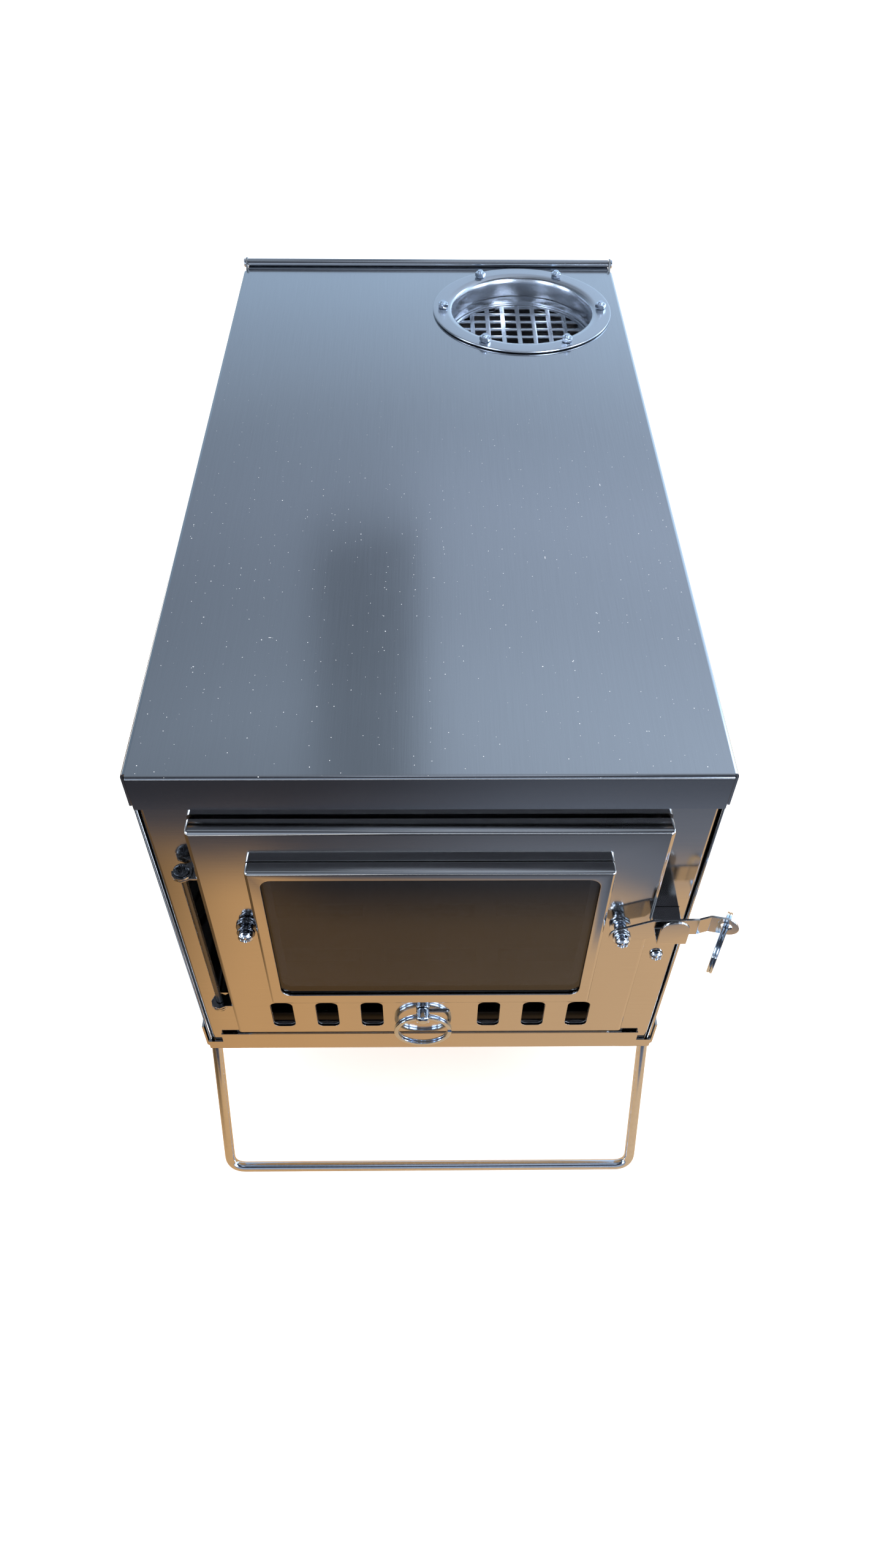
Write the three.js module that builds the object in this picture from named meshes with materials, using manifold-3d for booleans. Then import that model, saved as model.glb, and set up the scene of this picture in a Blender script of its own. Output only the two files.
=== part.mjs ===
// Folding tent wood stove, in millimetres with +Z up.
// The door faces -Y, and the origin lies on the ground below the middle of the whole stove.

import * as THREE from 'three';
import { mergeVertices } from 'three/addons/utils/BufferGeometryUtils.js';
import Module from 'manifold-3d';

const wasm = await Module();
wasm.setup();

// Driving dimensions
const sheet = 1;                // wall of every folded steel panel
const seat = 0.3;               // gap between pieces that rest on each other
const play = 0.3;               // radial clearance of a pin, screw or wire in its hole
const over = 2;                 // overrun of a cutting tool
const bend = 1.5;               // middle radius of a folded edge
const lid = { width: 230, depth: 423, skirt: 18.5, frontGap: 1, curl: 2.5, curlTurnShare: 0.8, notch: 5 };
const body = { height: 216.5, lift: 0.7, sideGap: 1.4, flange: 12, flangeGap: 3 };
const tray = { lip: 16.3, cornerLip: 8.5, cornerWidth: 9.6, sideLip: 20, sideGap: 1.4, rearGap: 1 };
const sidePanel = { flange: 8, ear: 3.2, earFoot: 5 };
const tabSlot = { width: 7.5, height: 4, fromEdge: 5.5, drop: 1.8 };
const grate = { height: 24, sideClear: 1.8, border: 13 };
const grateSlot = { width: 8, rows: 13, columns: 3, web: 12 };
const door = { fromEdge: 16.4, top: 25, bottom: 30.5, depth: 7, gap: 1.2, overlap: 6, edge: 1.8, corner: 4 };
const hinge = {
  inset: 5.7, forward: 5, ear: 4.2, neck: 2.8, top: 29, bottom: 24.5, pin: 1.4, slot: 5, slotShift: 0.8,
};
const hingeHead = { radius: 3.2, height: 1.9 };
const windowFrame = { fromSide: 21.4, top: 18.3, bottom: 39.7, depth: 6, edge: 1.4 };
const pane = { side: 5.5, top: 4.8, bottom: 7.9, corner: 5, lap: 3, glass: 3, glassPlay: 1.2 };
const clamp = { fromWindow: 6.3, shift: 1.4, rise: 5.7, edge: 5.6 };
const vent = {
  innerShare: 0.2961, pitchShare: 0.22655, widthShare: 0.11275, corner: 3, top: 9.7, bottom: 7.4, count: 3,
};
const damper = {
  sheet: 0.8, border: 2, lip: 1.5, foot: 3, knobX: -3.6, knobRise: 15.1, neck: 1.7, travelShare: 0.50235,
};
const knob = {
  radius: 3.3, length: 6.2, eye: 3.1, eyeRadius: 2.2, rivet: 2.8, rivetHeight: 0.9, dome: 1,
  domeShares: [0.5, 0.25],
};
const screw = { radius: 1.5, head: 3.1, headHeight: 2.3, nut: 2.75, nutHeight: 2.4, end: 0.6 };
const crownShares = [[1, 0], [1, 0.42], [0.84, 0.8], [0.46, 0.97], [0, 1]];   // radius and height of a dome
const washer = { inner: 4.6, outer: 3.9, thickness: 0.8, sleeve: 2.8, spring: 3, springHeight: 0.9 };
const sleeveHeights = [1.5, 3.5];   // the left one, and the right one that carries the lever
const lever = {
  height: 10.7, sheet: 1, eye: 5.4, shoulder: 13.8, shoulderX: 11.7, dip: 0.9, joggle: 31.2, step: 0.8,
  stepRun: 5,
};
const leverEye = { fromShare: 0.62, toShare: 1.62 };   // ends of the eye's round, in half turns
const leverTip = {
  reach: 47.4, flare: 20, rise: 2.4, hole: 42.4, holeRadius: 2.3, holeRise: 0.3, ringTurn: 26,
};
const ring = { outer: 14, inner: 12, width: 2.4, edge: 0.5 };
const catchHook = {
  width: 12.2, fromDoor: 0.5, rise: 1.4, reach: 19, tab: 15.7, bend: 1, screwDrop: 39, screwX: 8.6,
};
const flue = { fromSide: 60, fromRear: 56, bore: 40.6, wall: 1.2, tube: 11, flange: 52.5, rim: 0.8 };
const flueBolts = { count: 6, circle: 46.5 };
const basket = { clear: 0.6, depth: 16, grid: 2, pitch: 9.4, bar: 2.2, flange: 50, lip: 2.5 };
const stud = { end: 1.2, head: 2.6, headHeight: 1.6 };
const leg = {
  wire: 2.75, fromTray: 2.8, pivot: 9.6, length: 94.7, tilt: 22.2, turnIn: 15, footBend: 9, topBend: 6,
  flat: 0.4,
};
const clip = { width: 8, wing: 4, sheet: 1, fromSide: 10.5 };

// Facets round each kind of round piece
const facets = {
  screw: 10, nut: 6, washer: 12, ring: 26, flue: 40, grid: 32, wire: 8,
  corner: 3, edge: 2, tip: 7, fold: 3, slot: 1, bend: 5,
};

// Planes worked out from the driving dimensions
const floor = sheet;
const wallBase = floor + body.lift;
const lidTop = body.height;
const lidUnder = lidTop - sheet;
const wallTop = lidUnder - seat;
const lidHalf = lid.width / 2;
const lidFront = -lid.depth / 2;
const lidRear = lid.depth / 2;
const sideOuter = lidHalf - sheet - seat;
const sideInner = sideOuter - sheet;
const frameHalf = sideInner - body.sideGap;
const frameFront = lidFront + sheet + lid.frontGap;
const frameBack = frameFront + sheet;
const rearBack = lidRear - tray.rearGap;
const trayFront = frameFront - seat - sheet;
const trayRear = rearBack + seat + sheet;
const trayOuter = sideOuter + tray.sideGap + sheet;
const lidAxisY = lidRear + lid.curl;
const lidAxisZ = lidUnder + lid.curl;
const lidPin = lid.curl - sheet - play;

const doorHalf = frameHalf - door.fromEdge;
const doorTop = lidTop - door.top;
const doorBottom = door.bottom;
const doorBack = frameFront - door.gap;
const doorFace = doorBack - door.depth;
const doorInside = doorFace + sheet;
const pinX = -doorHalf - hinge.inset;
const pinY = frameFront - hinge.forward;
const upperEar = doorTop - hinge.top;
const lowerEar = doorBottom + hinge.bottom;

const windowHalf = doorHalf - windowFrame.fromSide;
const windowTop = doorTop - windowFrame.top;
const windowBottom = doorBottom + windowFrame.bottom;
const windowMiddle = (windowTop + windowBottom) / 2;
const windowFace = doorFace - windowFrame.depth;
const paneHalf = windowHalf - pane.side;
const paneTop = windowTop - pane.top;
const paneBottom = windowBottom + pane.bottom;
const glassFront = windowFace + sheet + seat;
const glassBack = glassFront + pane.glass;
const clampHalf = windowHalf + clamp.fromWindow;
const clampPlaces = [-clampHalf + clamp.shift, clampHalf + clamp.shift];
const clampX = clampPlaces[1];
const clampZ = windowMiddle + clamp.rise;
const stackBase = doorFace - seat;
const leverFront = stackBase - washer.thickness - sleeveHeights[1] - 2 * seat - lever.sheet;
const leverBack = leverFront + lever.sheet;

const shelfTop = clampZ + catchHook.rise;
const catchLeft = doorHalf + catchHook.fromDoor;
const catchScrewX = catchLeft + catchHook.screwX;
const catchScrewZ = shelfTop - catchHook.screwDrop;
const catchBack = frameBack + seat + sheet;
const retainerBack = doorInside + seat + sheet;

const ventInner = doorHalf * vent.innerShare;
const ventPitch = doorHalf * vent.pitchShare;
const ventHalf = doorHalf * vent.widthShare / 2;
const ventBottom = doorBottom + vent.bottom;
const ventTop = windowBottom - vent.top;
const plateFront = doorInside + seat;
const plateBack = plateFront + damper.sheet;
const knobZ = ventBottom + damper.knobRise;
const damperTravel = ventPitch * damper.travelShare;
const knobBase = doorFace - seat;
const knobEyeY = knobBase - knob.eye;
const ringMiddle = (ring.outer + ring.inner) / 2;

const flueX = lidHalf - flue.fromSide;
const flueY = lidRear - flue.fromRear;
const flueTop = lidTop + seat + flue.wall;
const basketTop = lidUnder - seat;
const basketInner = flue.bore + flue.wall + basket.clear;
const gridTop = lidTop - basket.depth;
const legX = trayOuter - leg.fromTray;
const legPivotZ = -seat - leg.wire;
const legTilt = THREE.MathUtils.degToRad(leg.tilt);
const ground = legPivotZ - leg.length * Math.cos(legTilt) - leg.wire + leg.flat;
const roundedEdge = bend + sheet / 2;

// Finishes
const finish = (color, roughness, metalness) =>
  new THREE.MeshStandardMaterial({ color, roughness, metalness });
const steel = finish(0x9c948a, 0.32, 1);
const darkSteel = finish(0x6f7783, 0.34, 1);
const bright = finish(0xc9ccd0, 0.18, 1);
const blackened = finish(0x2b2c2e, 0.5, 1);
const glass = finish(0x2a2320, 0.08, 0);
const fibre = finish(0xb9b2a4, 0.95, 0);

// Closed solids from geometry, and back
function solid(geometry) {
  const bare = geometry.clone();
  bare.deleteAttribute('normal');
  bare.deleteAttribute('uv');
  const merged = mergeVertices(bare);
  const vertProperties = new Float32Array(merged.attributes.position.array);
  const triVerts = new Uint32Array(merged.index.array);
  return new wasm.Manifold(new wasm.Mesh({ numProp: 3, vertProperties, triVerts }));
}

const joined = (...pieces) => pieces.map(solid).reduce((whole, piece) => whole.add(piece));
const cutBy = (whole, ...tools) => tools.map(solid).reduce((left, tool) => left.subtract(tool), whole);

function surface(manifold) {
  const mesh = manifold.getMesh();
  const geometry = new THREE.BufferGeometry();
  geometry.setAttribute('position', new THREE.BufferAttribute(new Float32Array(mesh.vertProperties), 3));
  geometry.setIndex(new THREE.BufferAttribute(new Uint32Array(mesh.triVerts), 1));
  geometry.computeVertexNormals();
  return geometry;
}

// Basic solids
function block(x0, x1, y0, y1, z0, z1) {
  const geometry = new THREE.BoxGeometry(x1 - x0, y1 - y0, z1 - z0);
  return geometry.translate((x0 + x1) / 2, (y0 + y1) / 2, (z0 + z1) / 2);
}

function extruded(shape, depth, curveSegments = facets.corner) {
  return new THREE.ExtrudeGeometry(shape, { depth, bevelEnabled: false, curveSegments });
}

// A shape drawn in x and z, standing upright from backY towards the viewer
function upright(shape, backY, thickness) {
  return extruded(shape, thickness).rotateX(Math.PI / 2).translate(0, backY, 0);
}

// A shape drawn in x and y, lying flat from z0 upwards
function lying(shape, z0, thickness) {
  return extruded(shape, thickness).translate(0, 0, z0);
}

// A shape drawn in y and z, carried along x from x0
function along(shape, x0, length) {
  const turn = new THREE.Matrix4().makeBasis(
    new THREE.Vector3(0, 1, 0), new THREE.Vector3(0, 0, 1), new THREE.Vector3(1, 0, 0));
  return extruded(shape, length).applyMatrix4(turn).translate(x0, 0, 0);
}

// A turned profile of [radius, height] pairs about +Z
function turned(profile, sides) {
  const points = profile.map(([r, z]) => new THREE.Vector2(r, z));
  return new THREE.LatheGeometry(points, sides).rotateX(Math.PI / 2);
}

// The same turned profile with its axis pointing at the viewer, at x, y, z
const facingFront = (geometry, x, y, z) => geometry.rotateX(Math.PI / 2).translate(x, y, z);

function rodBetween(x, y, z0, z1, radius, sides) {
  const geometry = new THREE.CylinderGeometry(radius, radius, z1 - z0, sides).rotateX(Math.PI / 2);
  return geometry.translate(x, y, (z0 + z1) / 2);
}

function rodAlongX(x0, x1, y, z, radius, sides) {
  const geometry = new THREE.CylinderGeometry(radius, radius, x1 - x0, sides).rotateZ(Math.PI / 2);
  return geometry.translate((x0 + x1) / 2, y, z);
}

function rodAlongY(x, y0, y1, z, radius, sides) {
  const geometry = new THREE.CylinderGeometry(radius, radius, y1 - y0, sides);
  return geometry.translate(x, (y0 + y1) / 2, z);
}

function roundedBox2D(x0, x1, z0, z1, r) {
  const shape = new THREE.Shape();
  shape.moveTo(x0 + r, z0);
  shape.lineTo(x1 - r, z0).absarc(x1 - r, z0 + r, r, -Math.PI / 2, 0);
  shape.lineTo(x1, z1 - r).absarc(x1 - r, z1 - r, r, 0, Math.PI / 2);
  shape.lineTo(x0 + r, z1).absarc(x0 + r, z1 - r, r, Math.PI / 2, Math.PI);
  shape.lineTo(x0, z0 + r).absarc(x0 + r, z0 + r, r, Math.PI, Math.PI * 1.5);
  return shape;
}

// Folded sheet: a middle line with rounded corners, given a wall on both sides
function foldedLine(corners, radius) {
  const points = [corners[0]];
  for (let i = 1; i < corners.length - 1; i += 1) {
    const before = corners[i - 1].clone().sub(corners[i]).normalize();
    const after = corners[i + 1].clone().sub(corners[i]).normalize();
    const half = before.angleTo(after) / 2;
    const reach = radius / Math.tan(half);
    const start = corners[i].clone().addScaledVector(before, reach);
    const end = corners[i].clone().addScaledVector(after, reach);
    const inwards = before.clone().add(after).normalize();
    const centre = corners[i].clone().addScaledVector(inwards, radius / Math.sin(half));
    const from = Math.atan2(start.y - centre.y, start.x - centre.x);
    const turn = Math.atan2(end.y - centre.y, end.x - centre.x) - from;
    const swing = Math.atan2(Math.sin(turn), Math.cos(turn));
    for (let k = 0; k <= facets.fold; k += 1) {
      const angle = from + swing * k / facets.fold;
      const arm = new THREE.Vector2(Math.cos(angle), Math.sin(angle));
      points.push(centre.clone().addScaledVector(arm, radius));
    }
  }
  points.push(corners[corners.length - 1]);
  return points;
}

function walledLine(points, wall) {
  const offset = (side) => points.map((point, i) => {
    const into = point.clone().sub(points[Math.max(i - 1, 0)]).normalize();
    const out = points[Math.min(i + 1, points.length - 1)].clone().sub(point).normalize();
    const direction = into.add(out).normalize();
    const atEnd = i === 0 || i === points.length - 1;
    const lean = atEnd ? 1 : direction.dot(out);
    return new THREE.Vector2(point.x - direction.y * side / lean, point.y + direction.x * side / lean);
  });
  return new THREE.Shape([...offset(wall / 2), ...offset(-wall / 2).reverse()]);
}

const folded = (pairs, wall, radius = bend) =>
  walledLine(foldedLine(pairs.map(([a, b]) => new THREE.Vector2(a, b)), radius), wall);

// A shallow pan that faces the viewer, open at the back, with rounded front edges
function bevelledBlock(half, z0, z1, frontY, depth, corner, edge) {
  const shape = roundedBox2D(-half + edge, half - edge, z0 + edge, z1 - edge, Math.max(corner - edge, seat));
  const geometry = new THREE.ExtrudeGeometry(shape, {
    depth, bevelEnabled: true, bevelSize: edge, bevelThickness: edge, bevelSegments: facets.edge,
    curveSegments: facets.slot });
  return geometry.rotateX(Math.PI / 2).translate(0, frontY + depth + edge, 0);
}

function uprightPan(half, z0, z1, faceY, backY, edge) {
  const depth = backY - faceY;
  const outer = bevelledBlock(half, z0, z1, faceY, depth, edge + seat, edge);
  const behind = block(-half - over, half + over, backY, backY + depth, z0 - over, z1 + over);
  const inner = bevelledBlock(half - sheet, z0 + sheet, z1 - sheet, faceY + sheet, depth, edge,
    edge - sheet / 2);
  return cutBy(solid(outer), behind, inner);
}

// Fasteners
const domed = (radius, height) => crownShares.map(([wide, high]) => [radius * wide, height * high]);

function panHead(x, y, z, through) {
  const { radius, head, headHeight } = screw;
  const profile = [[0, -through], [radius, -through], [radius, 0], ...domed(head, headHeight)];
  return facingFront(turned(profile, facets.screw), x, y, z);
}

function hexNut(height) {
  const shape = new THREE.Shape();
  const corner = screw.nut / Math.cos(Math.PI / facets.nut);
  for (let i = 0; i < facets.nut; i += 1) {
    const angle = 2 * Math.PI * i / facets.nut;
    shape[i ? 'lineTo' : 'moveTo'](corner * Math.cos(angle), corner * Math.sin(angle));
  }
  const bore = rodBetween(0, 0, -over, height + over, screw.radius + play, facets.screw);
  return surface(cutBy(solid(extruded(shape, height)), bore));
}

function collar(outer, inner, height, sides = facets.washer) {
  return turned([[inner, 0], [outer, 0], [outer, height], [inner, height], [inner, 0]], sides);
}

// Tray
function trayShell() {
  const half = sheet / 2;
  const lengthwise = folded([[trayFront + half, tray.lip], [trayFront + half, half],
    [trayRear - half, half], [trayRear - half, tray.lip]], sheet);
  const across = folded([[-trayOuter + half, tray.sideLip], [-trayOuter + half, half],
    [trayOuter - half, half], [trayOuter - half, tray.sideLip]], sheet);
  const fromEnd = roundedEdge + seat;
  const shell = joined(along(lengthwise, -trayOuter + roundedEdge, 2 * (trayOuter - roundedEdge)),
    upright(across, trayRear - fromEnd, trayRear - trayFront - 2 * fromEnd));
  const inner = trayOuter - tray.cornerWidth;
  const cut = sheet + seat / 2;
  const ends = [[trayFront - over, trayFront + cut], [trayRear - cut, trayRear + over]];
  const notches = [[-trayOuter - over, -inner], [inner, trayOuter + over]].flatMap(([x0, x1]) =>
    ends.map(([y0, y1]) => block(x0, x1, y0, y1, tray.cornerLip, tray.lip + over)));
  return surface(cutBy(shell, ...notches));
}

// Side panels, with an ear that carries the lid's pin
function sideWall(side) {
  const halfWall = sheet / 2;
  const middle = sideOuter - halfWall;
  const inner = sideOuter - sidePanel.flange;
  const profile = folded([[inner, wallBase + halfWall], [middle, wallBase + halfWall],
    [middle, wallTop - halfWall], [inner, wallTop - halfWall]], sheet);
  const channel = upright(profile, rearBack, rearBack - frameFront);
  const notch = body.flange + body.flangeGap + sheet;
  const wide = [inner - over, sideInner];
  const ends = [[frameFront - over, frameFront + notch], [rearBack - notch, rearBack + over]];
  const cuts = ends.flatMap(([y0, y1]) => [
    block(...wide, y0, y1, wallBase - over, wallBase + sheet + bend),
    block(...wide, y0, y1, wallTop - sheet - bend, wallTop + over)]);
  const ear = new THREE.Shape();
  const foot = rearBack - sidePanel.earFoot / 2;
  ear.moveTo(foot, wallTop - sidePanel.earFoot);
  ear.lineTo(rearBack, wallTop - sidePanel.earFoot);
  ear.absarc(lidAxisY, lidAxisZ, sidePanel.ear, -Math.PI / 4, Math.PI * 3 / 4);
  ear.lineTo(foot, wallTop - sheet);
  const earPlate = along(ear, sideInner, sheet);
  const hole = rodAlongX(sideInner - over, sideOuter + over, lidAxisY, lidAxisZ, lidPin + play, facets.screw);
  const wall = cutBy(cutBy(solid(channel), ...cuts).add(solid(earPlate)), hole);
  const geometry = surface(wall);
  return side > 0 ? geometry : mirrored(geometry);
}

// A mirrored copy with its triangles turned back outwards
function mirrored(geometry) {
  const copy = geometry.clone().scale(-1, 1, 1);
  const index = copy.index.array;
  for (let i = 0; i < index.length; i += 3) {
    [index[i], index[i + 1]] = [index[i + 1], index[i]];
  }
  copy.computeVertexNormals();
  return copy;
}

// Front frame, with the door opening, lanced hinge ears and the catch's slot
function hingeEar(z, carrier) {
  const shape = new THREE.Shape();
  if (carrier === 'frame') {
    shape.moveTo(pinX - hinge.ear, frameFront + sheet / 2);
    shape.absarc(pinX, pinY, hinge.ear, Math.PI, 2 * Math.PI);
    shape.lineTo(pinX + hinge.ear, frameFront + sheet / 2);
  } else {
    const swing = Math.asin(hinge.neck / hinge.ear);
    shape.absarc(pinX, pinY, hinge.ear, swing, 2 * Math.PI - swing);
    shape.lineTo(-doorHalf + sheet / 2, pinY - hinge.neck);
    shape.lineTo(-doorHalf + sheet / 2, pinY + hinge.neck);
  }
  return extruded(shape, sheet).translate(0, 0, z);
}

function frontFrame() {
  const halfWall = sheet / 2;
  const edge = frameHalf - halfWall;
  const profile = folded([[-edge, frameFront + body.flange], [-edge, frameFront + halfWall],
    [edge, frameFront + halfWall], [edge, frameFront + body.flange]], sheet);
  const wall = solid(lying(profile, wallBase, wallTop - wallBase));
  const ears = [upperEar - sheet, lowerEar].map((z) => hingeEar(z, 'frame'));
  const opening = roundedBox2D(-doorHalf + door.overlap, doorHalf - door.overlap,
    doorBottom + door.overlap, doorTop - door.overlap, door.corner);
  const slotX = pinX + hinge.slotShift;
  const hingeSlot = block(slotX - hinge.slot / 2, slotX + hinge.slot / 2, frameFront - seat, frameBack + over,
    lowerEar + sheet + seat, upperEar - sheet - seat);
  const catchSlot = block(catchLeft - play, catchLeft + catchHook.width + play,
    frameFront - over, frameBack + over, shelfTop - sheet - play, shelfTop + play);
  const catchHole = rodAlongY(catchScrewX, frameFront - over, frameBack + over, catchScrewZ,
    screw.radius + play, facets.screw);
  const tabSlots = [-1, 1].map((side) => {
    const x = side * (frameHalf - tabSlot.fromEdge - tabSlot.width / 2);
    const top = tray.lip + tabSlot.height - tabSlot.drop;
    return block(x - tabSlot.width / 2, x + tabSlot.width / 2, frameFront - over, frameBack + over,
      top - tabSlot.height, top);
  });
  const pinHole = rodBetween(pinX, pinY, lowerEar - over, upperEar + over, hinge.pin + play, facets.screw);
  const whole = ears.map(solid).reduce((left, ear) => left.add(ear), wall);
  return surface(cutBy(whole, upright(opening, frameBack + over, sheet + 2 * over), hingeSlot, catchSlot,
    catchHole, pinHole, ...tabSlots));
}

function rearPanel() {
  const halfWall = sheet / 2;
  const edge = frameHalf - halfWall;
  const profile = folded([[-edge, rearBack - body.flange], [-edge, rearBack - halfWall],
    [edge, rearBack - halfWall], [edge, rearBack - body.flange]], sheet);
  return lying(profile, wallBase, wallTop - wallBase);
}

// Fire grate: a slotted shelf on two folded feet
function fireGrate() {
  const halfWall = sheet / 2;
  const half = sideOuter - sidePanel.flange - grate.sideClear;
  const shelf = floor + grate.height;
  const foot = sheet + seat;
  const profile = folded([[-half, foot], [-half, shelf - halfWall],
    [half, shelf - halfWall], [half, foot]], sheet);
  const y0 = frameFront + body.flange + body.flangeGap;
  const y1 = rearBack - body.flange - body.flangeGap;
  const plate = solid(upright(profile, y1, y1 - y0));
  const rowPitch = (y1 - y0 - 2 * grate.border) / grateSlot.rows;
  const columnPitch = 2 * (half - grate.border) / grateSlot.columns;
  const slots = [];
  for (let row = 0; row < grateSlot.rows; row += 1) {
    for (let column = 0; column < grateSlot.columns; column += 1) {
      const x = -half + grate.border + columnPitch * (column + 0.5);
      const y = y0 + grate.border + rowPitch * (row + 0.5);
      const reach = (columnPitch - grateSlot.web) / 2;
      slots.push(block(x - reach, x + reach, y - grateSlot.width / 2, y + grateSlot.width / 2,
        shelf - sheet - over, shelf + over));
    }
  }
  return surface(cutBy(plate, ...slots));
}

// Lid, with its curled rear edge
function lidShell() {
  const halfWall = sheet / 2;
  const corners = [[lidFront + halfWall, lidTop - lid.skirt], [lidFront + halfWall, lidTop - halfWall],
    [lidAxisY, lidTop - halfWall]].map(([a, b]) => new THREE.Vector2(a, b));
  const start = foldedLine(corners, bend);
  const curlCentre = new THREE.Vector2(lidAxisY, lidAxisZ);
  const curlMiddle = lid.curl - halfWall;
  const curlSteps = 4 * facets.fold;
  for (let i = 1; i <= curlSteps; i += 1) {
    const angle = -Math.PI / 2 + 2 * Math.PI * lid.curlTurnShare * i / curlSteps;
    const arm = new THREE.Vector2(Math.cos(angle), Math.sin(angle));
    start.push(curlCentre.clone().addScaledVector(arm, curlMiddle));
  }
  const spine = along(walledLine(start, sheet), -lidHalf + roundedEdge, 2 * (lidHalf - roundedEdge));
  const across = folded([[-lidHalf + halfWall, lidTop - lid.skirt], [-lidHalf + halfWall, lidTop - halfWall],
    [lidHalf - halfWall, lidTop - halfWall], [lidHalf - halfWall, lidTop - lid.skirt]], sheet);
  const flangeRear = lidRear - lid.notch;
  const sides = upright(across, flangeRear, flangeRear - lidFront - roundedEdge);
  const reach = sideInner - seat;
  const notches = [[-lidHalf - over, -reach], [reach, lidHalf + over]].map(([x0, x1]) =>
    block(x0, x1, flangeRear, lidAxisY + 2 * lid.curl, lidUnder - over, lidTop + 3 * lid.curl));
  const hole = rodBetween(flueX, flueY, lidUnder - over, lidTop + over, basketInner - seat / 2, facets.flue);
  const studs = studPlaces().map(([x, y]) =>
    rodBetween(x, y, lidUnder - over, lidTop + over, screw.radius + play, facets.screw));
  return surface(cutBy(joined(spine, sides), ...notches, hole, ...studs));
}

function lidPinRod() {
  const end = sideOuter + seat;
  const shaft = rodAlongX(-end - sheet / 2, end + sheet / 2, lidAxisY, lidAxisZ, lidPin, facets.screw);
  const heads = [-1, 1].map((side) => {
    const x0 = Math.min(side * end, side * (end + sheet));
    return rodAlongX(x0, x0 + sheet, lidAxisY, lidAxisZ, lid.curl, facets.washer);
  });
  return surface(joined(shaft, ...heads));
}

// Flue collar, its studs and the spark basket below it
function studPlaces() {
  return Array.from({ length: flueBolts.count }, (_, i) => {
    const angle = 2 * Math.PI * i / flueBolts.count;
    return [flueX + flueBolts.circle * Math.cos(angle), flueY + flueBolts.circle * Math.sin(angle)];
  });
}

function flueCollar() {
  const { bore, wall, tube, flange, rim } = flue;
  const low = lidTop + seat;
  const profile = [[bore, lidTop - tube], [bore + wall, lidTop - tube], [bore + wall, low], [flange, low],
    [flange, low + wall - rim / 2], [flange - rim / 2, flueTop], [bore + wall + rim, flueTop],
    [bore + rim / 2, flueTop - rim / 4], [bore, flueTop - rim], [bore, lidTop - tube]];
  const ringSolid = solid(turned(profile, facets.flue).translate(flueX, flueY, 0));
  const holes = studPlaces().map(([x, y]) =>
    rodBetween(x, y, low - over, flueTop + over, screw.radius + play, facets.screw));
  return surface(cutBy(ringSolid, ...holes));
}

function sparkBasket() {
  const inner = basketInner;
  const outer = inner + sheet;
  const lipTop = gridTop - basket.grid - seat;
  const bottom = lipTop - sheet;
  const profile = [[inner - basket.lip, bottom], [outer, bottom], [outer, basketTop - sheet],
    [basket.flange, basketTop - sheet], [basket.flange, basketTop], [inner, basketTop], [inner, lipTop],
    [inner - basket.lip, lipTop], [inner - basket.lip, bottom]];
  const shell = solid(turned(profile, facets.flue).translate(flueX, flueY, 0));
  const holes = studPlaces().map(([x, y]) =>
    rodBetween(x, y, basketTop - over, basketTop + over, screw.radius + play, facets.screw));
  return surface(cutBy(shell, ...holes));
}

// The grid: a round plate with square holes, lying on the basket's lip
function sparkGrid() {
  const radius = basketInner - play;
  const bottom = gridTop - basket.grid;
  const plate = solid(rodBetween(flueX, flueY, bottom, gridTop, radius, facets.grid));
  const hole = (basket.pitch - basket.bar) / 2;
  const reach = radius - basket.lip;
  const last = Math.ceil(reach / basket.pitch);
  const holes = [];
  for (let i = -last; i < last; i += 1) {
    for (let j = -last; j < last; j += 1) {
      const x = (i + 1 / 2) * basket.pitch;
      const y = (j + 1 / 2) * basket.pitch;
      if (Math.hypot(x, y) < reach + hole) {
        holes.push(block(flueX + x - hole, flueX + x + hole, flueY + y - hole, flueY + y + hole,
          bottom - over, gridTop + over));
      }
    }
  }
  const inside = solid(rodBetween(flueX, flueY, bottom - over, gridTop + over, reach, facets.grid));
  const pattern = holes.map(solid).reduce((all, one) => all.add(one)).intersect(inside);
  return surface(plate.subtract(pattern));
}

function flueStuds() {
  const headTop = basketTop - sheet - seat;
  const top = flueTop + seat + screw.nutHeight + stud.end;
  const profile = [[0, -stud.headHeight], [stud.head, -stud.headHeight], [stud.head, 0], [screw.radius, 0],
    [screw.radius, top - headTop], [0, top - headTop]];
  return studPlaces().map(([x, y]) => turned(profile, facets.screw).translate(x, y, headTop));
}

const flueNuts = () => studPlaces().map(([x, y], i) =>
  hexNut(screw.nutHeight).rotateZ(Math.PI * i / flueBolts.count).translate(x, y, flueTop + seat));

// Door panel, with its window opening, vents, knob slot and hinge ears
function ventShapes() {
  const shapes = [];
  for (const side of [-1, 1]) {
    for (let i = 0; i < vent.count; i += 1) {
      const x = side * (ventInner + ventPitch * i);
      shapes.push(roundedBox2D(x - ventHalf, x + ventHalf, ventBottom, ventTop, vent.corner));
    }
  }
  return shapes;
}

function aperture(grow) {
  return roundedBox2D(-paneHalf - grow, paneHalf + grow, paneBottom - grow, paneTop + grow, pane.corner);
}

function knobSlot(y0, y1) {
  const reach = damper.neck + play;
  const shape = roundedBox2D(damper.knobX - reach, damper.knobX + damperTravel + reach,
    knobZ - reach, knobZ + reach, reach - play / 2);
  return upright(shape, y1, y1 - y0);
}

const clampHoles = (y0, y1) => clampPlaces.map((x) =>
  rodAlongY(x, y0, y1, clampZ, screw.radius + play, facets.screw));

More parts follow.
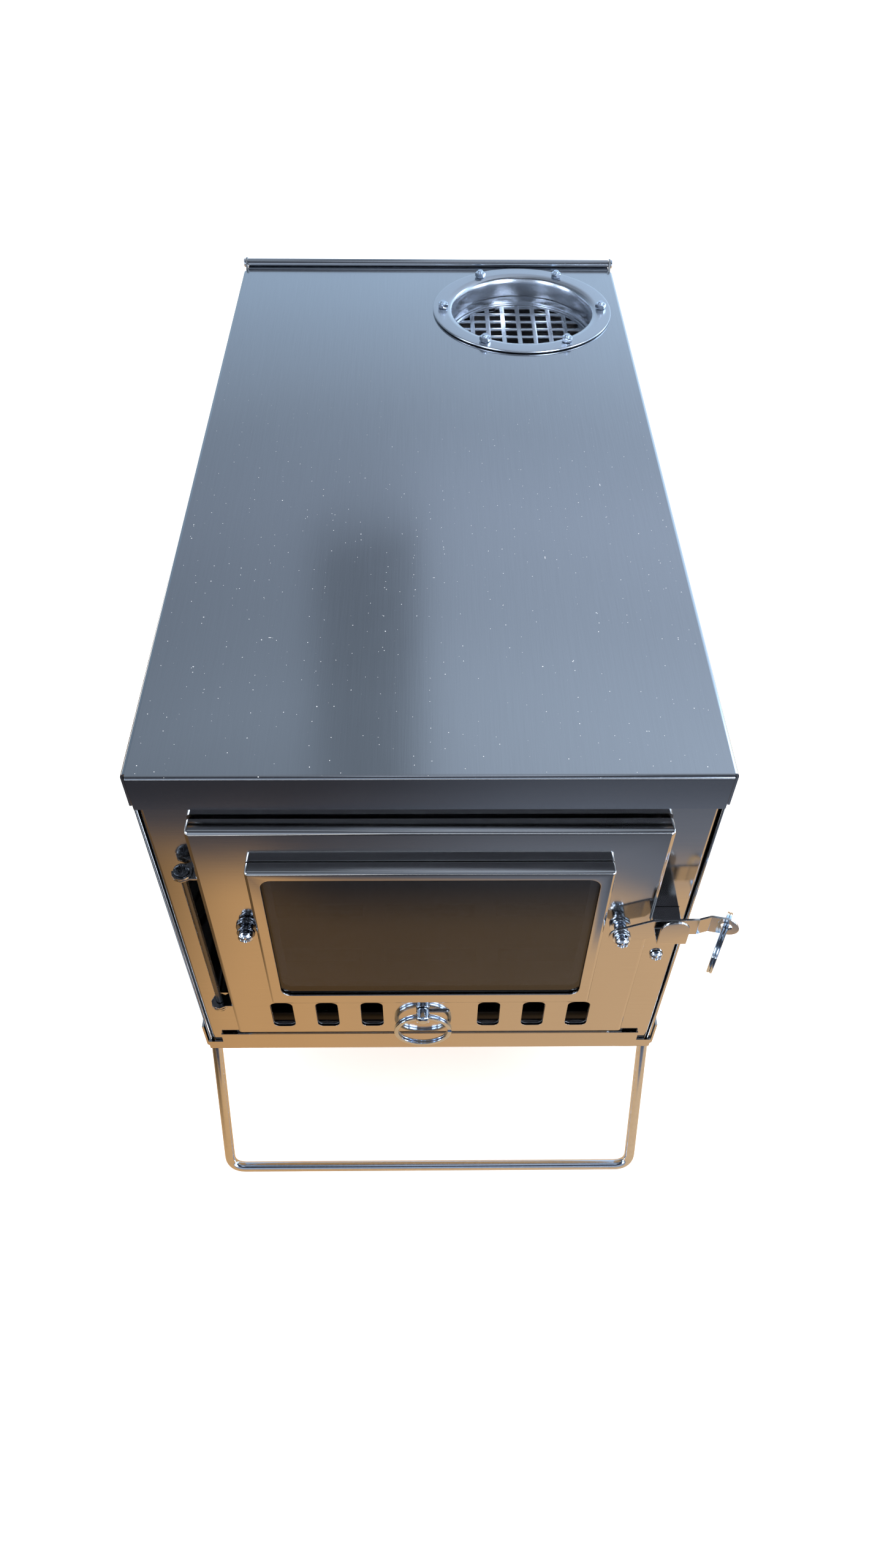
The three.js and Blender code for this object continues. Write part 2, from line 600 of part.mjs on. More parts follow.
function doorPanel() {
  const pan = uprightPan(doorHalf, doorBottom, doorTop, doorFace, doorBack, door.edge);
  const ears = [upperEar - 2 * sheet - seat, lowerEar + sheet + seat].map((z) => hingeEar(z, 'door'));
  const y0 = doorFace - over;
  const y1 = doorInside + over;
  const cuts = [upright(aperture(pane.lap), y1, y1 - y0), knobSlot(y0, y1), ...clampHoles(y0, y1),
    ...ventShapes().map((shape) => upright(shape, y1, y1 - y0)),
    rodBetween(pinX, pinY, lowerEar - over, upperEar + over, hinge.pin + play, facets.screw)];
  return surface(cutBy(ears.map(solid).reduce((left, ear) => left.add(ear), pan), ...cuts));
}

function windowPan() {
  const pan = uprightPan(windowHalf, windowBottom, windowTop, windowFace, doorFace - seat, windowFrame.edge);
  return surface(cutBy(pan, upright(aperture(0), windowFace + sheet + over, sheet + 2 * over)));
}

function windowGlass() {
  const inset = sheet + pane.glassPlay;
  return block(-windowHalf + inset, windowHalf - inset, glassFront, glassBack,
    windowBottom + inset, windowTop - inset);
}

function glassGasket() {
  const shape = aperture(pane.lap - seat);
  shape.holes.push(aperture(0));
  const backY = doorInside;
  return upright(shape, backY, backY - glassBack - seat);
}

function glassRetainer() {
  const half = clampHalf + clamp.edge;
  const margin = 2 * pane.lap;
  const shape = roundedBox2D(-half, half, paneBottom - margin, paneTop + margin, door.corner);
  const plate = solid(upright(shape, retainerBack, sheet));
  const window = upright(aperture(-pane.lap), retainerBack + over, sheet + 2 * over);
  return surface(cutBy(plate, window, ...clampHoles(retainerBack - sheet - over, retainerBack + over)));
}

// Glass clamp: washer, sleeve, outer washer, spring washer and screw, with the lever on the right sleeve
const sleeveY = stackBase - washer.thickness - seat;
const outerWasherY = [sleeveY - sleeveHeights[0] - seat, leverFront - seat];
const springY = outerWasherY.map((y) => y - washer.thickness - seat);
const headY = springY.map((y) => y - washer.springHeight - seat);
const clampEnd = retainerBack + seat + screw.nutHeight + screw.end;

const stackRing = (x, y, outer, height) =>
  facingFront(collar(outer, screw.radius + play, height), x, y, clampZ);
const innerWashers = () => clampPlaces.map((x) => stackRing(x, stackBase, washer.inner, washer.thickness));
const clampSleeves = () => clampPlaces.map((x, i) => stackRing(x, sleeveY, washer.sleeve, sleeveHeights[i]));
const outerWashers = () => clampPlaces.map((x, i) =>
  stackRing(x, outerWasherY[i], washer.outer, washer.thickness));
const springWashers = () => clampPlaces.map((x, i) =>
  stackRing(x, springY[i], washer.spring, washer.springHeight));
const clampNuts = () => clampPlaces.map((x) =>
  facingFront(hexNut(screw.nutHeight), x, clampEnd - screw.end, clampZ));
const clampScrews = () => clampPlaces.map((x, i) => panHead(x, headY[i], clampZ, clampEnd - headY[i]));

// Damper plate, its rails, knob and split ring
function damperPlate() {
  const span = ventInner + ventPitch * (vent.count - 1) + ventHalf;
  const z0 = ventBottom - damper.border;
  const z1 = ventTop + damper.border;
  const left = -span - damperTravel - damper.border;
  const shape = roundedBox2D(left, span + damper.border, z0, z1, damper.border);
  const plate = solid(upright(shape, plateBack, damper.sheet));
  const y0 = plateFront - over;
  const y1 = plateBack + over;
  const hole = rodAlongY(damper.knobX, y0, y1, knobZ, damper.neck + play, facets.screw);
  return surface(cutBy(plate, hole, ...ventShapes().map((opening) => upright(opening, y1, y1 - y0))));
}

function damperRails() {
  const half = doorHalf - sheet - seat - damper.border;
  const lipBack = plateBack + seat;
  const wall = damper.sheet;
  const outward = [[plateFront, seat + damper.foot], [plateFront, seat], [lipBack, seat],
    [lipBack, -damper.lip], [lipBack + wall, -damper.lip], [lipBack + wall, seat + wall],
    [plateFront + wall, seat + wall], [plateFront + wall, seat + damper.foot]];
  const lowEdge = ventBottom - damper.border;
  const highEdge = ventTop + damper.border;
  return [[highEdge, 1], [lowEdge, -1]].map(([edge, out]) => {
    const section = outward.map(([y, away]) => new THREE.Vector2(y, edge + out * away));
    return along(new THREE.Shape(section), -half, 2 * half);
  });
}

function damperKnob() {
  const front = knob.length;
  const rear = plateBack + seat - knobBase;
  const profile = [[0, -rear - knob.rivetHeight], [knob.rivet, -rear - knob.rivetHeight], [knob.rivet, -rear],
    [damper.neck, -rear], [damper.neck, 0], [knob.radius, 0], [knob.radius, front - knob.dome],
    [knob.radius - knob.dome * knob.domeShares[0], front - knob.dome * knob.domeShares[1]], [0, front]];
  const stub = solid(facingFront(turned(profile, facets.washer), damper.knobX, knobBase, knobZ));
  const reach = knob.radius + over;
  const eye = rodAlongX(damper.knobX - reach, damper.knobX + reach, knobEyeY, knobZ,
    knob.eyeRadius, facets.screw);
  return surface(cutBy(stub, eye));
}

// A split ring, turned about +Z
function splitRing() {
  const { outer, inner, width, edge } = ring;
  const half = width / 2;
  const profile = [[inner, -half + edge], [inner + edge, -half], [outer - edge, -half], [outer, -half + edge],
    [outer, half - edge], [outer - edge, half], [inner + edge, half], [inner, half - edge],
    [inner, -half + edge]];
  return turned(profile, facets.ring);
}

// Latch lever: a cranked strip in plan, cut to its outline in front view
const leverCrank = clampX + lever.joggle;
const leverRestZ = shelfTop + seat;
const leverHoleX = clampX + leverTip.hole;
const ringTurn = THREE.MathUtils.degToRad(leverTip.ringTurn);
const ringReach = (ring.outer - ring.edge) * Math.sin(ringTurn) + ring.width / 2 * Math.cos(ringTurn);
const leverHoleZ = leverRestZ + lever.height / 2 + leverTip.rise + leverTip.holeRise;
const leverHoleY = (leverFront + leverBack) / 2 + lever.step
  - (leverHoleX - leverCrank - lever.stepRun) * Math.tan(THREE.MathUtils.degToRad(leverTip.flare));

function latchLever() {
  const middleY = (leverFront + leverBack) / 2;
  const tipX = clampX + leverTip.reach;
  const flareRun = tipX + over - leverCrank - lever.stepRun;
  const flareY = middleY + lever.step - flareRun * Math.tan(THREE.MathUtils.degToRad(leverTip.flare));
  const plan = folded([[clampX - lever.eye - over, middleY], [leverCrank, middleY],
    [leverCrank + lever.stepRun, middleY + lever.step], [tipX + over, flareY]], lever.sheet);
  const tall = lever.shoulder + 3 * lever.eye;
  const strip = lying(plan, clampZ - tall, 2 * tall);
  const top = leverRestZ + lever.height;
  const outline = new THREE.Shape();
  const tipRadius = lever.height / 2;
  const tipZ = leverRestZ + tipRadius + leverTip.rise;
  outline.absarc(clampX, clampZ, lever.eye, Math.PI * leverEye.fromShare, Math.PI * leverEye.toShare);
  outline.lineTo(clampX + lever.shoulderX, top - lever.shoulder);
  outline.lineTo(catchLeft - seat, leverRestZ);
  outline.lineTo(leverCrank, leverRestZ);
  outline.absarc(tipX - tipRadius, tipZ, tipRadius, -Math.PI / 2, Math.PI / 2);
  outline.lineTo(leverCrank, top);
  outline.lineTo(clampX + lever.shoulderX, top - lever.dip);
  const front = extruded(outline, 4 * lever.eye, facets.tip);
  const mask = solid(front.rotateX(Math.PI / 2).translate(0, leverBack + 2 * lever.eye, 0));
  const pivot = rodAlongY(clampX, leverFront - over, leverBack + over, clampZ,
    screw.radius + play, facets.screw);
  const hole = rodAlongY(leverHoleX, leverFront - 2 * over, leverBack + 2 * over, leverHoleZ,
    leverTip.holeRadius, facets.screw);
  return surface(cutBy(solid(strip).intersect(mask), pivot, hole));
}

// Catch: a hooked strip through the frame, screwed behind it
function latchCatch() {
  const halfWall = sheet / 2;
  const legY = frameBack + seat + halfWall;
  const tabY = frameFront - catchHook.reach + halfWall;
  const tabTop = shelfTop + catchHook.tab;
  const legEnd = catchScrewZ - screw.head - sheet;
  const profile = folded([[legY, legEnd], [legY, shelfTop - halfWall],
    [tabY, shelfTop - halfWall], [tabY, tabTop]], sheet, catchHook.bend);
  const strip = solid(along(profile, catchLeft, catchHook.width));
  const round = catchHook.width / 2;
  const x = catchLeft + round;
  const mask = new THREE.Shape();
  mask.moveTo(x - round - over, legEnd - over).lineTo(x + round + over, legEnd - over);
  mask.lineTo(x + round + over, shelfTop).lineTo(x + round, shelfTop);
  mask.absarc(x, tabTop - round, round, 0, Math.PI);
  mask.lineTo(x - round, shelfTop).lineTo(x - round - over, shelfTop);
  const front = extruded(mask, legY - tabY + 2 * over, facets.tip);
  const rounded = strip.intersect(solid(front.rotateX(Math.PI / 2).translate(0, legY + over, 0)));
  const hole = rodAlongY(catchScrewX, legY - over, legY + over, catchScrewZ,
    screw.radius + play, facets.screw);
  return surface(cutBy(rounded, hole));
}

const catchEnd = catchBack + seat + screw.nutHeight + screw.end;
const catchHead = frameFront - seat;
const catchScrew = () => panHead(catchScrewX, catchHead, catchScrewZ, catchEnd - catchHead);
const catchNut = () => facingFront(hexNut(screw.nutHeight), catchScrewX, catchEnd - screw.end, catchScrewZ);

// Hinge pin: one long domed screw down through both pairs of ears
function hingePin() {
  const top = upperEar + seat;
  const bottom = lowerEar - seat - screw.nutHeight - screw.end;
  const { radius, height } = hingeHead;
  const profile = [[0, bottom - top], [hinge.pin, bottom - top], [hinge.pin, 0], ...domed(radius, height)];
  return turned(profile, facets.screw).translate(pinX, pinY, top);
}

const hingeNut = () => hexNut(screw.nutHeight).translate(pinX, pinY, lowerEar - seat - screw.nutHeight);

// A round wire carried along a path in a flat plane, with a section square to the path at each point
function bentWire(points, normal, radius) {
  const count = facets.wire;
  const position = [];
  points.forEach((point, i) => {
    const next = points[Math.min(i + 1, points.length - 1)];
    const tangent = next.clone().sub(points[Math.max(i - 1, 0)]).normalize();
    const across = tangent.cross(normal);
    for (let k = 0; k < count; k += 1) {
      const angle = 2 * Math.PI * (k + 1 / 2) / count;
      const vertex = point.clone().addScaledVector(across, radius * Math.cos(angle));
      vertex.addScaledVector(normal, radius * Math.sin(angle));
      position.push(vertex.x, vertex.y, vertex.z);
    }
  });
  const last = (points.length - 1) * count;
  const index = [];
  for (let start = 0; start < last; start += count) {
    for (let k = 0; k < count; k += 1) {
      const next = (k + 1) % count;
      index.push(start + k, start + count + k, start + next);
      index.push(start + next, start + count + k, start + count + next);
    }
  }
  for (let k = 1; k < count - 1; k += 1) {
    index.push(0, k, k + 1, last, last + k + 1, last + k);
  }
  const geometry = new THREE.BufferGeometry();
  geometry.setAttribute('position', new THREE.BufferAttribute(new Float32Array(position), 3));
  geometry.setIndex(index);
  return geometry;
}

// Legs: one bent wire each, turned in at the top and held by two clips
function legWire(end) {
  const inwards = legX - leg.turnIn;
  const foot = leg.length;
  const corners = [[-inwards, 0], [-legX, 0], [-legX, foot], [legX, foot], [legX, 0], [inwards, 0]];
  const bends = [leg.topBend, leg.footBend, leg.footBend, leg.topBend];
  const place = ([x, reach]) => new THREE.Vector3(
    x, end * (lidRear - leg.pivot + reach * Math.sin(legTilt)), legPivotZ - reach * Math.cos(legTilt));
  const points = [place(corners[0])];
  bends.forEach((radius, i) => {
    const corner = place(corners[i + 1]);
    const before = place(corners[i]).sub(corner).normalize();
    const after = place(corners[i + 2]).sub(corner).normalize();
    const enter = corner.clone().addScaledVector(before, radius);
    const leave = corner.clone().addScaledVector(after, radius);
    points.push(...new THREE.QuadraticBezierCurve3(enter, corner, leave).getPoints(facets.bend));
  });
  points.push(place(corners[corners.length - 1]));
  const normal = place([1, 0]).sub(place([0, 0])).cross(place([0, 1]).sub(place([0, 0])));
  const wire = solid(bentWire(points, normal, leg.wire));
  const footY = end * (lidRear - leg.pivot + leg.length * Math.sin(legTilt));
  const reachX = legX + 2 * over;
  const worn = block(-reachX, reachX, footY - 2 * leg.wire, footY + 2 * leg.wire, ground - over, ground);
  return surface(cutBy(wire, worn));
}

function legClips(end) {
  const y = end * (lidRear - leg.pivot);
  const reach = leg.wire + play + clip.sheet / 2;
  const top = -seat - clip.sheet / 2;
  const low = legPivotZ - reach;
  const profile = folded([[y - reach - clip.wing, top], [y - reach, top], [y - reach, low],
    [y + reach, low], [y + reach, top], [y + reach + clip.wing, top]], clip.sheet, clip.sheet / 2 + seat);
  const x0 = legX - clip.fromSide;
  return [-x0, x0].map((x) => along(profile, x - clip.width / 2, clip.width));
}

// Assembly, moved so that the origin is on the ground below the middle of the whole
const stove = new THREE.Group();

function add(group, name, geometry, material) {
  const mesh = new THREE.Mesh(geometry, material);
  mesh.name = name;
  group.add(mesh);
  return mesh;
}

function addEach(group, names, geometries, material) {
  geometries.forEach((geometry, i) => add(group, names[i], geometry, material));
}

const bothSides = (name) => [`${name}_left`, `${name}_right`];
const numbered = (name) => Array.from({ length: flueBolts.count }, (_, i) => `${name}_${i + 1}`);

const shell = new THREE.Group();
add(shell, 'bottom_tray', trayShell(), steel);
addEach(shell, bothSides('side_panel'), [sideWall(-1), sideWall(1)], steel);
add(shell, 'front_frame', frontFrame(), steel);
add(shell, 'rear_panel', rearPanel(), steel);
add(shell, 'fire_grate', fireGrate(), darkSteel);
add(shell, 'lid_hinge_pin', lidPinRod(), steel);
add(shell, 'door_hinge_pin', hingePin(), bright);
add(shell, 'door_hinge_nut', hingeNut(), blackened);
add(shell, 'latch_catch', latchCatch(), steel);
add(shell, 'catch_screw', catchScrew(), bright);
add(shell, 'catch_nut', catchNut(), bright);
addEach(shell, bothSides('front_leg_clip'), legClips(-1), steel);
addEach(shell, bothSides('rear_leg_clip'), legClips(1), steel);

const doorGroup = new THREE.Group();
add(doorGroup, 'door_panel', doorPanel(), steel);
add(doorGroup, 'window_frame', windowPan(), steel);
add(doorGroup, 'window_glass', windowGlass(), glass);
add(doorGroup, 'glass_gasket', glassGasket(), fibre);
add(doorGroup, 'glass_retainer', glassRetainer(), darkSteel);
addEach(doorGroup, ['window_screw', 'latch_pivot_screw'], clampScrews(), bright);
addEach(doorGroup, bothSides('clamp_washer'), innerWashers(), bright);
addEach(doorGroup, bothSides('clamp_sleeve'), clampSleeves(), bright);
addEach(doorGroup, bothSides('outer_washer'), outerWashers(), bright);
addEach(doorGroup, bothSides('spring_washer'), springWashers(), bright);
addEach(doorGroup, bothSides('clamp_nut'), clampNuts(), bright);
addEach(doorGroup, ['damper_rail_upper', 'damper_rail_lower'], damperRails(), darkSteel);

const damperGroup = new THREE.Group();
add(damperGroup, 'damper_plate', damperPlate(), darkSteel);
add(damperGroup, 'damper_knob', damperKnob(), bright);
const damperRing = add(damperGroup, 'damper_ring', splitRing(), bright);
damperRing.rotation.x = Math.PI / 2;
damperRing.position.set(damper.knobX, knobEyeY, knobZ - ringMiddle);

const latchGroup = new THREE.Group();
add(latchGroup, 'latch_lever', latchLever(), steel);
const latchRing = add(latchGroup, 'latch_ring', splitRing(), bright);
latchRing.rotation.set(0, Math.PI / 2, -ringTurn, 'ZYX');
latchRing.position.set(leverHoleX, leverHoleY, leverHoleZ - ringMiddle);

const lidGroup = new THREE.Group();
add(lidGroup, 'lid', lidShell(), darkSteel);
add(lidGroup, 'flue_collar', flueCollar(), steel);
add(lidGroup, 'spark_basket', sparkBasket(), steel);
add(lidGroup, 'spark_grid', sparkGrid(), steel);
addEach(lidGroup, numbered('flue_stud'), flueStuds(), bright);
addEach(lidGroup, numbered('flue_nut'), flueNuts(), bright);

const legGroup = new THREE.Group();
add(legGroup, 'front_leg', legWire(-1), bright);
add(legGroup, 'rear_leg', legWire(1), bright);

stove.add(shell, doorGroup, damperGroup, latchGroup, lidGroup, legGroup);
stove.position.set((trayOuter - leverHoleX - ringReach) / 2, 0, -ground);

export default stove;
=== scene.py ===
"""Folding tent wood stove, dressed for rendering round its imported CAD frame.

Every length is in metres in the frame's own axes: the door faces -Y and +Z is up.
"""

import logging
import math
from collections.abc import Callable
from dataclasses import dataclass, field
from enum import Enum
from typing import Any

import bmesh
import bpy
import numpy as np
from mathutils import Matrix, Vector


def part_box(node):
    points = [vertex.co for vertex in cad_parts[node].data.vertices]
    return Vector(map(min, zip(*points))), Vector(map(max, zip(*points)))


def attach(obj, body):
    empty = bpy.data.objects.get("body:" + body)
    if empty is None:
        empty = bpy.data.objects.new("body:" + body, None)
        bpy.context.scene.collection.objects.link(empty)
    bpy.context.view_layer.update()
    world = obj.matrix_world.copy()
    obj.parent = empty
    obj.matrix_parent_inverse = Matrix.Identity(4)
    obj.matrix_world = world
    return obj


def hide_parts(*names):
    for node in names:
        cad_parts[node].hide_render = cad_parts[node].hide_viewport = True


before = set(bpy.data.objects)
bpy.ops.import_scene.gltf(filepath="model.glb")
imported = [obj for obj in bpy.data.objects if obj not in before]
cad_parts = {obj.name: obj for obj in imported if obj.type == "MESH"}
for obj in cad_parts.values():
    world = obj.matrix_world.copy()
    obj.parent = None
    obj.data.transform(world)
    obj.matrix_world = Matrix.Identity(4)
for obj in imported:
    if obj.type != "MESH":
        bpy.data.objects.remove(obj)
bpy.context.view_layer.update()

LOG = logging.getLogger("tent_stove")
TURN = 2 * math.pi
MM = 0.001
UPWARD = np.array([0.0, 0.0, 1.0])


class Body(Enum):
    """The moving bodies of the stove, by their names in the record."""

    ROOT = "root"
    DOOR = "door"
    DAMPER = "damper"
    DAMPER_RING = "damper_ring"
    LATCH = "latch"
    LATCH_RING = "latch_ring"
    LID = "lid"
    FRONT_LEG = "front_leg"
    REAR_LEG = "rear_leg"


class Slot(Enum):
    """The record's material slots."""

    PANEL = "panel_steel"
    TOP = "top_steel"
    BRIGHT = "bright_hardware"
    BLACK = "black_hardware"
    WINDOW = "window"
    FIBRE = "fibre"


class Axis(Enum):
    """Which way a turned piece's own height points."""

    UP = "up"
    FRONT = "front"


# ---------------------------------------------------------------- shader maths


class Signal:
    """One output socket of a node. Sums, products and comparisons add Math nodes."""

    def __init__(self, paint: "Paint", socket: bpy.types.NodeSocket) -> None:
        """Keeps the socket and the material that it belongs to."""
        self.paint = paint
        self.socket = socket

    def sibling(self, name: str) -> "Signal":
        """Another output of the same node."""
        return Signal(self.paint, self.socket.node.outputs[name])

    def _math(self, operation: str, first: object, second: object) -> "Signal":
        """Adds one Math node.

        Args:
            operation: the node's operation.
            first: the first value or signal.
            second: the second value or signal.

        Returns:
            The node's result.
        """
        return self.paint.node("ShaderNodeMath", {"operation": operation}, {0: first, 1: second})

    def __add__(self, other: object) -> "Signal":
        """self + other."""
        return self._math("ADD", self, other)

    def __radd__(self, other: object) -> "Signal":
        """other + self."""
        return self._math("ADD", other, self)

    def __sub__(self, other: object) -> "Signal":
        """self - other."""
        return self._math("SUBTRACT", self, other)

    def __rsub__(self, other: object) -> "Signal":
        """other - self."""
        return self._math("SUBTRACT", other, self)

    def __mul__(self, other: object) -> "Signal":
        """self * other."""
        return self._math("MULTIPLY", self, other)

    def __rmul__(self, other: object) -> "Signal":
        """other * self."""
        return self._math("MULTIPLY", other, self)

    def __lt__(self, other: object) -> "Signal":
        """1 where self is below other."""
        return self._math("LESS_THAN", self, other)

    def __gt__(self, other: object) -> "Signal":
        """1 where self is above other."""
        return self._math("GREATER_THAN", self, other)


class Paint:
    """A material in the making, with its node tree."""

    def __init__(self, name: str) -> None:
        """Starts an empty material with an output and a Principled shader.

        Args:
            name: the material's name.
        """
        self.material = bpy.data.materials.new(name)
        self.material.use_nodes = True
        self.tree = self.material.node_tree
        self.tree.nodes.clear()
        self.output = self.tree.nodes.new("ShaderNodeOutputMaterial")
        self.shader = self.tree.nodes.new("ShaderNodeBsdfPrincipled")
        self.tree.links.new(self.shader.outputs[0], self.output.inputs[0])

    def put(self, socket: bpy.types.NodeSocket, value: object) -> None:
        """Links a signal to a socket, or sets the socket's own value.

        Args:
            socket: the input socket.
            value: a signal, a number, a colour or a vector.
        """
        if isinstance(value, Signal):
            self.tree.links.new(value.socket, socket)
        else:
            socket.default_value = value

    def node(self, kind: str, settings: dict[str, object], inputs: dict[str | int, object],
             output: str | int = 0) -> Signal:
        """Adds a node of any kind.

        Args:
            kind: the node's type.
            settings: its properties, set first. "stops" gives a ramp's (place, colour) pairs.
            inputs: values or signals by socket name or number.
            output: the name or number of the socket to return.

        Returns:
            That output socket.
        """
        node = self.tree.nodes.new(kind)
        for key, value in settings.items():
            if key == "stops":
                elements = node.color_ramp.elements
                while len(elements) < len(value):
                    elements.new(1.0)
                for element, (place, colour) in zip(elements, value):
                    element.position = place
                    element.color = (*colour, 1.0)
            else:
                setattr(node, key, value)
        for key, value in inputs.items():
            self.put(node.inputs[key], value)
        return Signal(self, node.outputs[output])

    def place(self, scale: tuple[float, float, float] = (1.0, 1.0, 1.0)) -> Signal:
        """Object coordinates, stretched by a scale along each axis."""
        here = self.node("ShaderNodeTexCoord", {}, {}, "Object")
        return self.node("ShaderNodeVectorMath", {"operation": "MULTIPLY"}, {0: here, 1: scale})

    def axes(self, where: Signal) -> list[Signal]:
        """The x, y and z of a vector."""
        split = self.node("ShaderNodeSeparateXYZ", {}, {0: where})
        return [split.sibling(name) for name in "XYZ"]

    def noise(self, where: Signal, scale: float, detail: float = 2.0, rough: float = 0.5) -> Signal:
        """Smooth noise from 0 to 1, about one wave in each 1/scale metres."""
        return self.node("ShaderNodeTexNoise", {}, {"Vector": where, "Scale": scale, "Detail": detail,
                                                    "Roughness": rough}, "Fac")

    def mix(self, factor: object, first: object, second: object) -> Signal:
        """A colour between two colours."""
        return self.node("ShaderNodeMix", {"data_type": "RGBA"}, {0: factor, 6: first, 7: second}, 2)

    def smooth(self, value: Signal, low: float, high: float) -> Signal:
        """0 below low, 1 above high and smooth between."""
        return self.node("ShaderNodeMapRange", {"interpolation_type": "SMOOTHSTEP"},
                         {"Value": value, "From Min": low, "From Max": high})

    def bump(self, height: Signal, strength: float, distance: float) -> Signal:
        """A surface normal tilted by a height."""
        return self.node("ShaderNodeBump", {}, {"Height": height, "Strength": strength, "Distance": distance})

    def finish(self, sockets: dict[str, object]) -> bpy.types.Material:
        """Sets the Principled shader's sockets by name.

        Args:
            sockets: values or signals by socket name.

        Returns:
            The material.
        """
        for key, value in sockets.items():
            self.put(self.shader.inputs[key], value)
        return self.material


def rgba(colour: tuple[float, float, float], gain: float = 1.0) -> tuple[float, float, float, float]:
    """A linear colour times a gain, with full alpha."""
    return (*(min(1.0, part * gain) for part in colour), 1.0)


# ---------------------------------------------------------------- finishes


@dataclass(frozen=True)
class RolledSteel:
    """Satin stainless sheet: fine rolling grain, cloudy gloss and, where wanted, dust or painted shade.

    Dust comes from nets of cells, each with its stretch, the share of its cells that stay empty and the size
    of its specks. It thins out between two places along y, by the third number of `wiped`.
    """

    name: str
    colour: tuple[float, float, float] = (0.60, 0.595, 0.59)
    grain: tuple[float, float, float] = (40.0, 2600.0, 2600.0)
    contrast: float = 0.05
    roughness: float = 0.115
    cloud: float = 0.035
    cloud_scale: float = 16.0
    relief: float = 0.015
    dust: float = 0.0
    dust_colour: tuple[float, float, float] = (0.86, 0.88, 0.90)
    dust_cover: float = 0.6
    dust_depth: float = 6 * MM
    nets: tuple[tuple[tuple[float, float, float], float, float], ...] = (
        ((1.3, 1.3, 0.0), 0.64, 0.060), ((2.6, 2.6, 0.0), 0.42, 0.055),
        ((1.1, 0.18, 0.0), 0.84, 0.11), ((0.24, 1.0, 0.0), 0.86, 0.12))
    wiped: tuple[float, float, float] = (-0.06, 0.14, 0.35)
    # painted shade: a box whose colour is made near black, where the frame lies in the door's shadow behind
    # the vents
    soot: tuple[Vector, Vector] | None = None
    soot_colour: tuple[float, float, float] = (0.012, 0.011, 0.010)

    def material(self) -> bpy.types.Material:
        """Builds the node tree. Painted shade darkens what lies inside a box, and specks of dust lie over the
        rest.

        Returns:
            The finished material.
        """
        paint = Paint(self.name)
        grain = paint.noise(paint.place(self.grain), 1.0, 3.0, 0.65)
        cloud = paint.noise(paint.place(), self.cloud_scale, 3.0, 0.55)
        colour = paint.mix(grain, rgba(self.colour, 1 - self.contrast), rgba(self.colour, 1 + self.contrast))
        rough = (cloud - 0.5) * (2 * self.cloud) + (grain - 0.5) * (0.8 * self.cloud) + self.roughness
        sockets = {"Metallic": 1.0}
        if self.soot:
            # painted shade: inside the box the colour is mixed towards near black
            black = self.inside(paint)
            colour = paint.mix(black, colour, rgba(self.soot_colour))
            rough = rough + black * 0.4
        if self.dust:
            specks = self.specks(paint)
            colour = paint.mix(specks, colour, rgba(self.dust_colour))
            rough = rough + specks * 0.5
            sockets["Metallic"] = 1 - specks
        sockets["Base Color"] = colour
        sockets["Roughness"] = rough
        sockets["Normal"] = paint.bump(grain, self.relief, 0.0002)
        return paint.finish(sockets)

    def inside(self, paint: Paint) -> Signal:
        """1 within the box of painted shade and 0 outside it: the product of a step for each of its six
        sides.

        Args:
            paint: the material in the making.

        Returns:
            The mask.
        """
        within = 1.0
        for here, low, high in zip(paint.axes(paint.place()), *self.soot):
            within = (here > low) * within * (here < high)
        return within

    def specks(self, paint: Paint) -> Signal:
        """Pale dust on the upper face: the middles of scattered cells, kept where the cell's chance is high.

        Round specks come from square cells, and short hairs from nets of long thin cells. They thin out
        towards the rear.

        Args:
            paint: the material in the making.

        Returns:
            The specks' mask, up to how well they cover.
        """
        _, along, height = paint.axes(paint.place())
        first, last, thinner = self.wiped
        clean = paint.smooth(along, first, last) * thinner
        found = 0.0
        for stretch, chance, size in self.nets:
            middle = paint.node("ShaderNodeTexVoronoi", {"voronoi_dimensions": "2D"},
                                {"Scale": self.dust, "Vector": paint.place(stretch)}, "Distance")
            draw = paint.node("ShaderNodeSeparateColor", {}, {0: middle.sibling("Color")})
            found = (middle < (draw - clean - chance) * size) + found
        return (found > 0.5) * (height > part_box("lid")[1].z - self.dust_depth) * self.dust_cover


@dataclass(frozen=True)
class Plated:
    """Bright hardware: near mirror gloss with faint smears that shift its tone and roughness."""

    name: str
    colour: tuple[float, float, float] = (0.70, 0.76, 0.85)
    roughness: float = 0.12
    smear: float = 0.06
    smear_scale: float = 420.0
    spot_scale: float = 1500.0
    tarnish: float = 0.12

    def material(self) -> bpy.types.Material:
        """Builds the node tree.

        Returns:
            The finished material.
        """
        paint = Paint(self.name)
        smear = paint.noise(paint.place(), self.smear_scale, 3.0, 0.6)
        spots = paint.noise(paint.place(), self.spot_scale, 2.0, 0.6)
        colour = paint.mix(smear, rgba(self.colour, 1 - self.tarnish),
                           rgba(self.colour, 1 + self.tarnish / 3))
        return paint.finish({
            "Base Color": colour,
            "Metallic": 1.0,
            "Roughness": (smear - 0.5) * (2 * self.smear) + self.roughness,
            "Normal": paint.bump(spots, 0.04, 0.0001),
        })


@dataclass(frozen=True)
class StoveGlass:
    """Clear ceramic pane, a little smoky, with a faint haze of wiping marks."""

    name: str
    tint: tuple[float, float, float] = (0.09, 0.09, 0.10)

    def material(self) -> bpy.types.Material:
        """Builds the node tree.

        Returns:
            The finished material.
        """
        paint = Paint(self.name)
        haze = paint.noise(paint.place((30.0, 30.0, 9.0)), 1.0, 3.0, 0.6)
        return paint.finish({
            "Base Color": paint.mix(haze, rgba(self.tint, 0.9), rgba(self.tint, 1.1)),
            "Metallic": 0.0,
            "Roughness": haze * 0.05 + 0.02,
            "IOR": 1.46,
            "Transmission Weight": 1.0,
        })


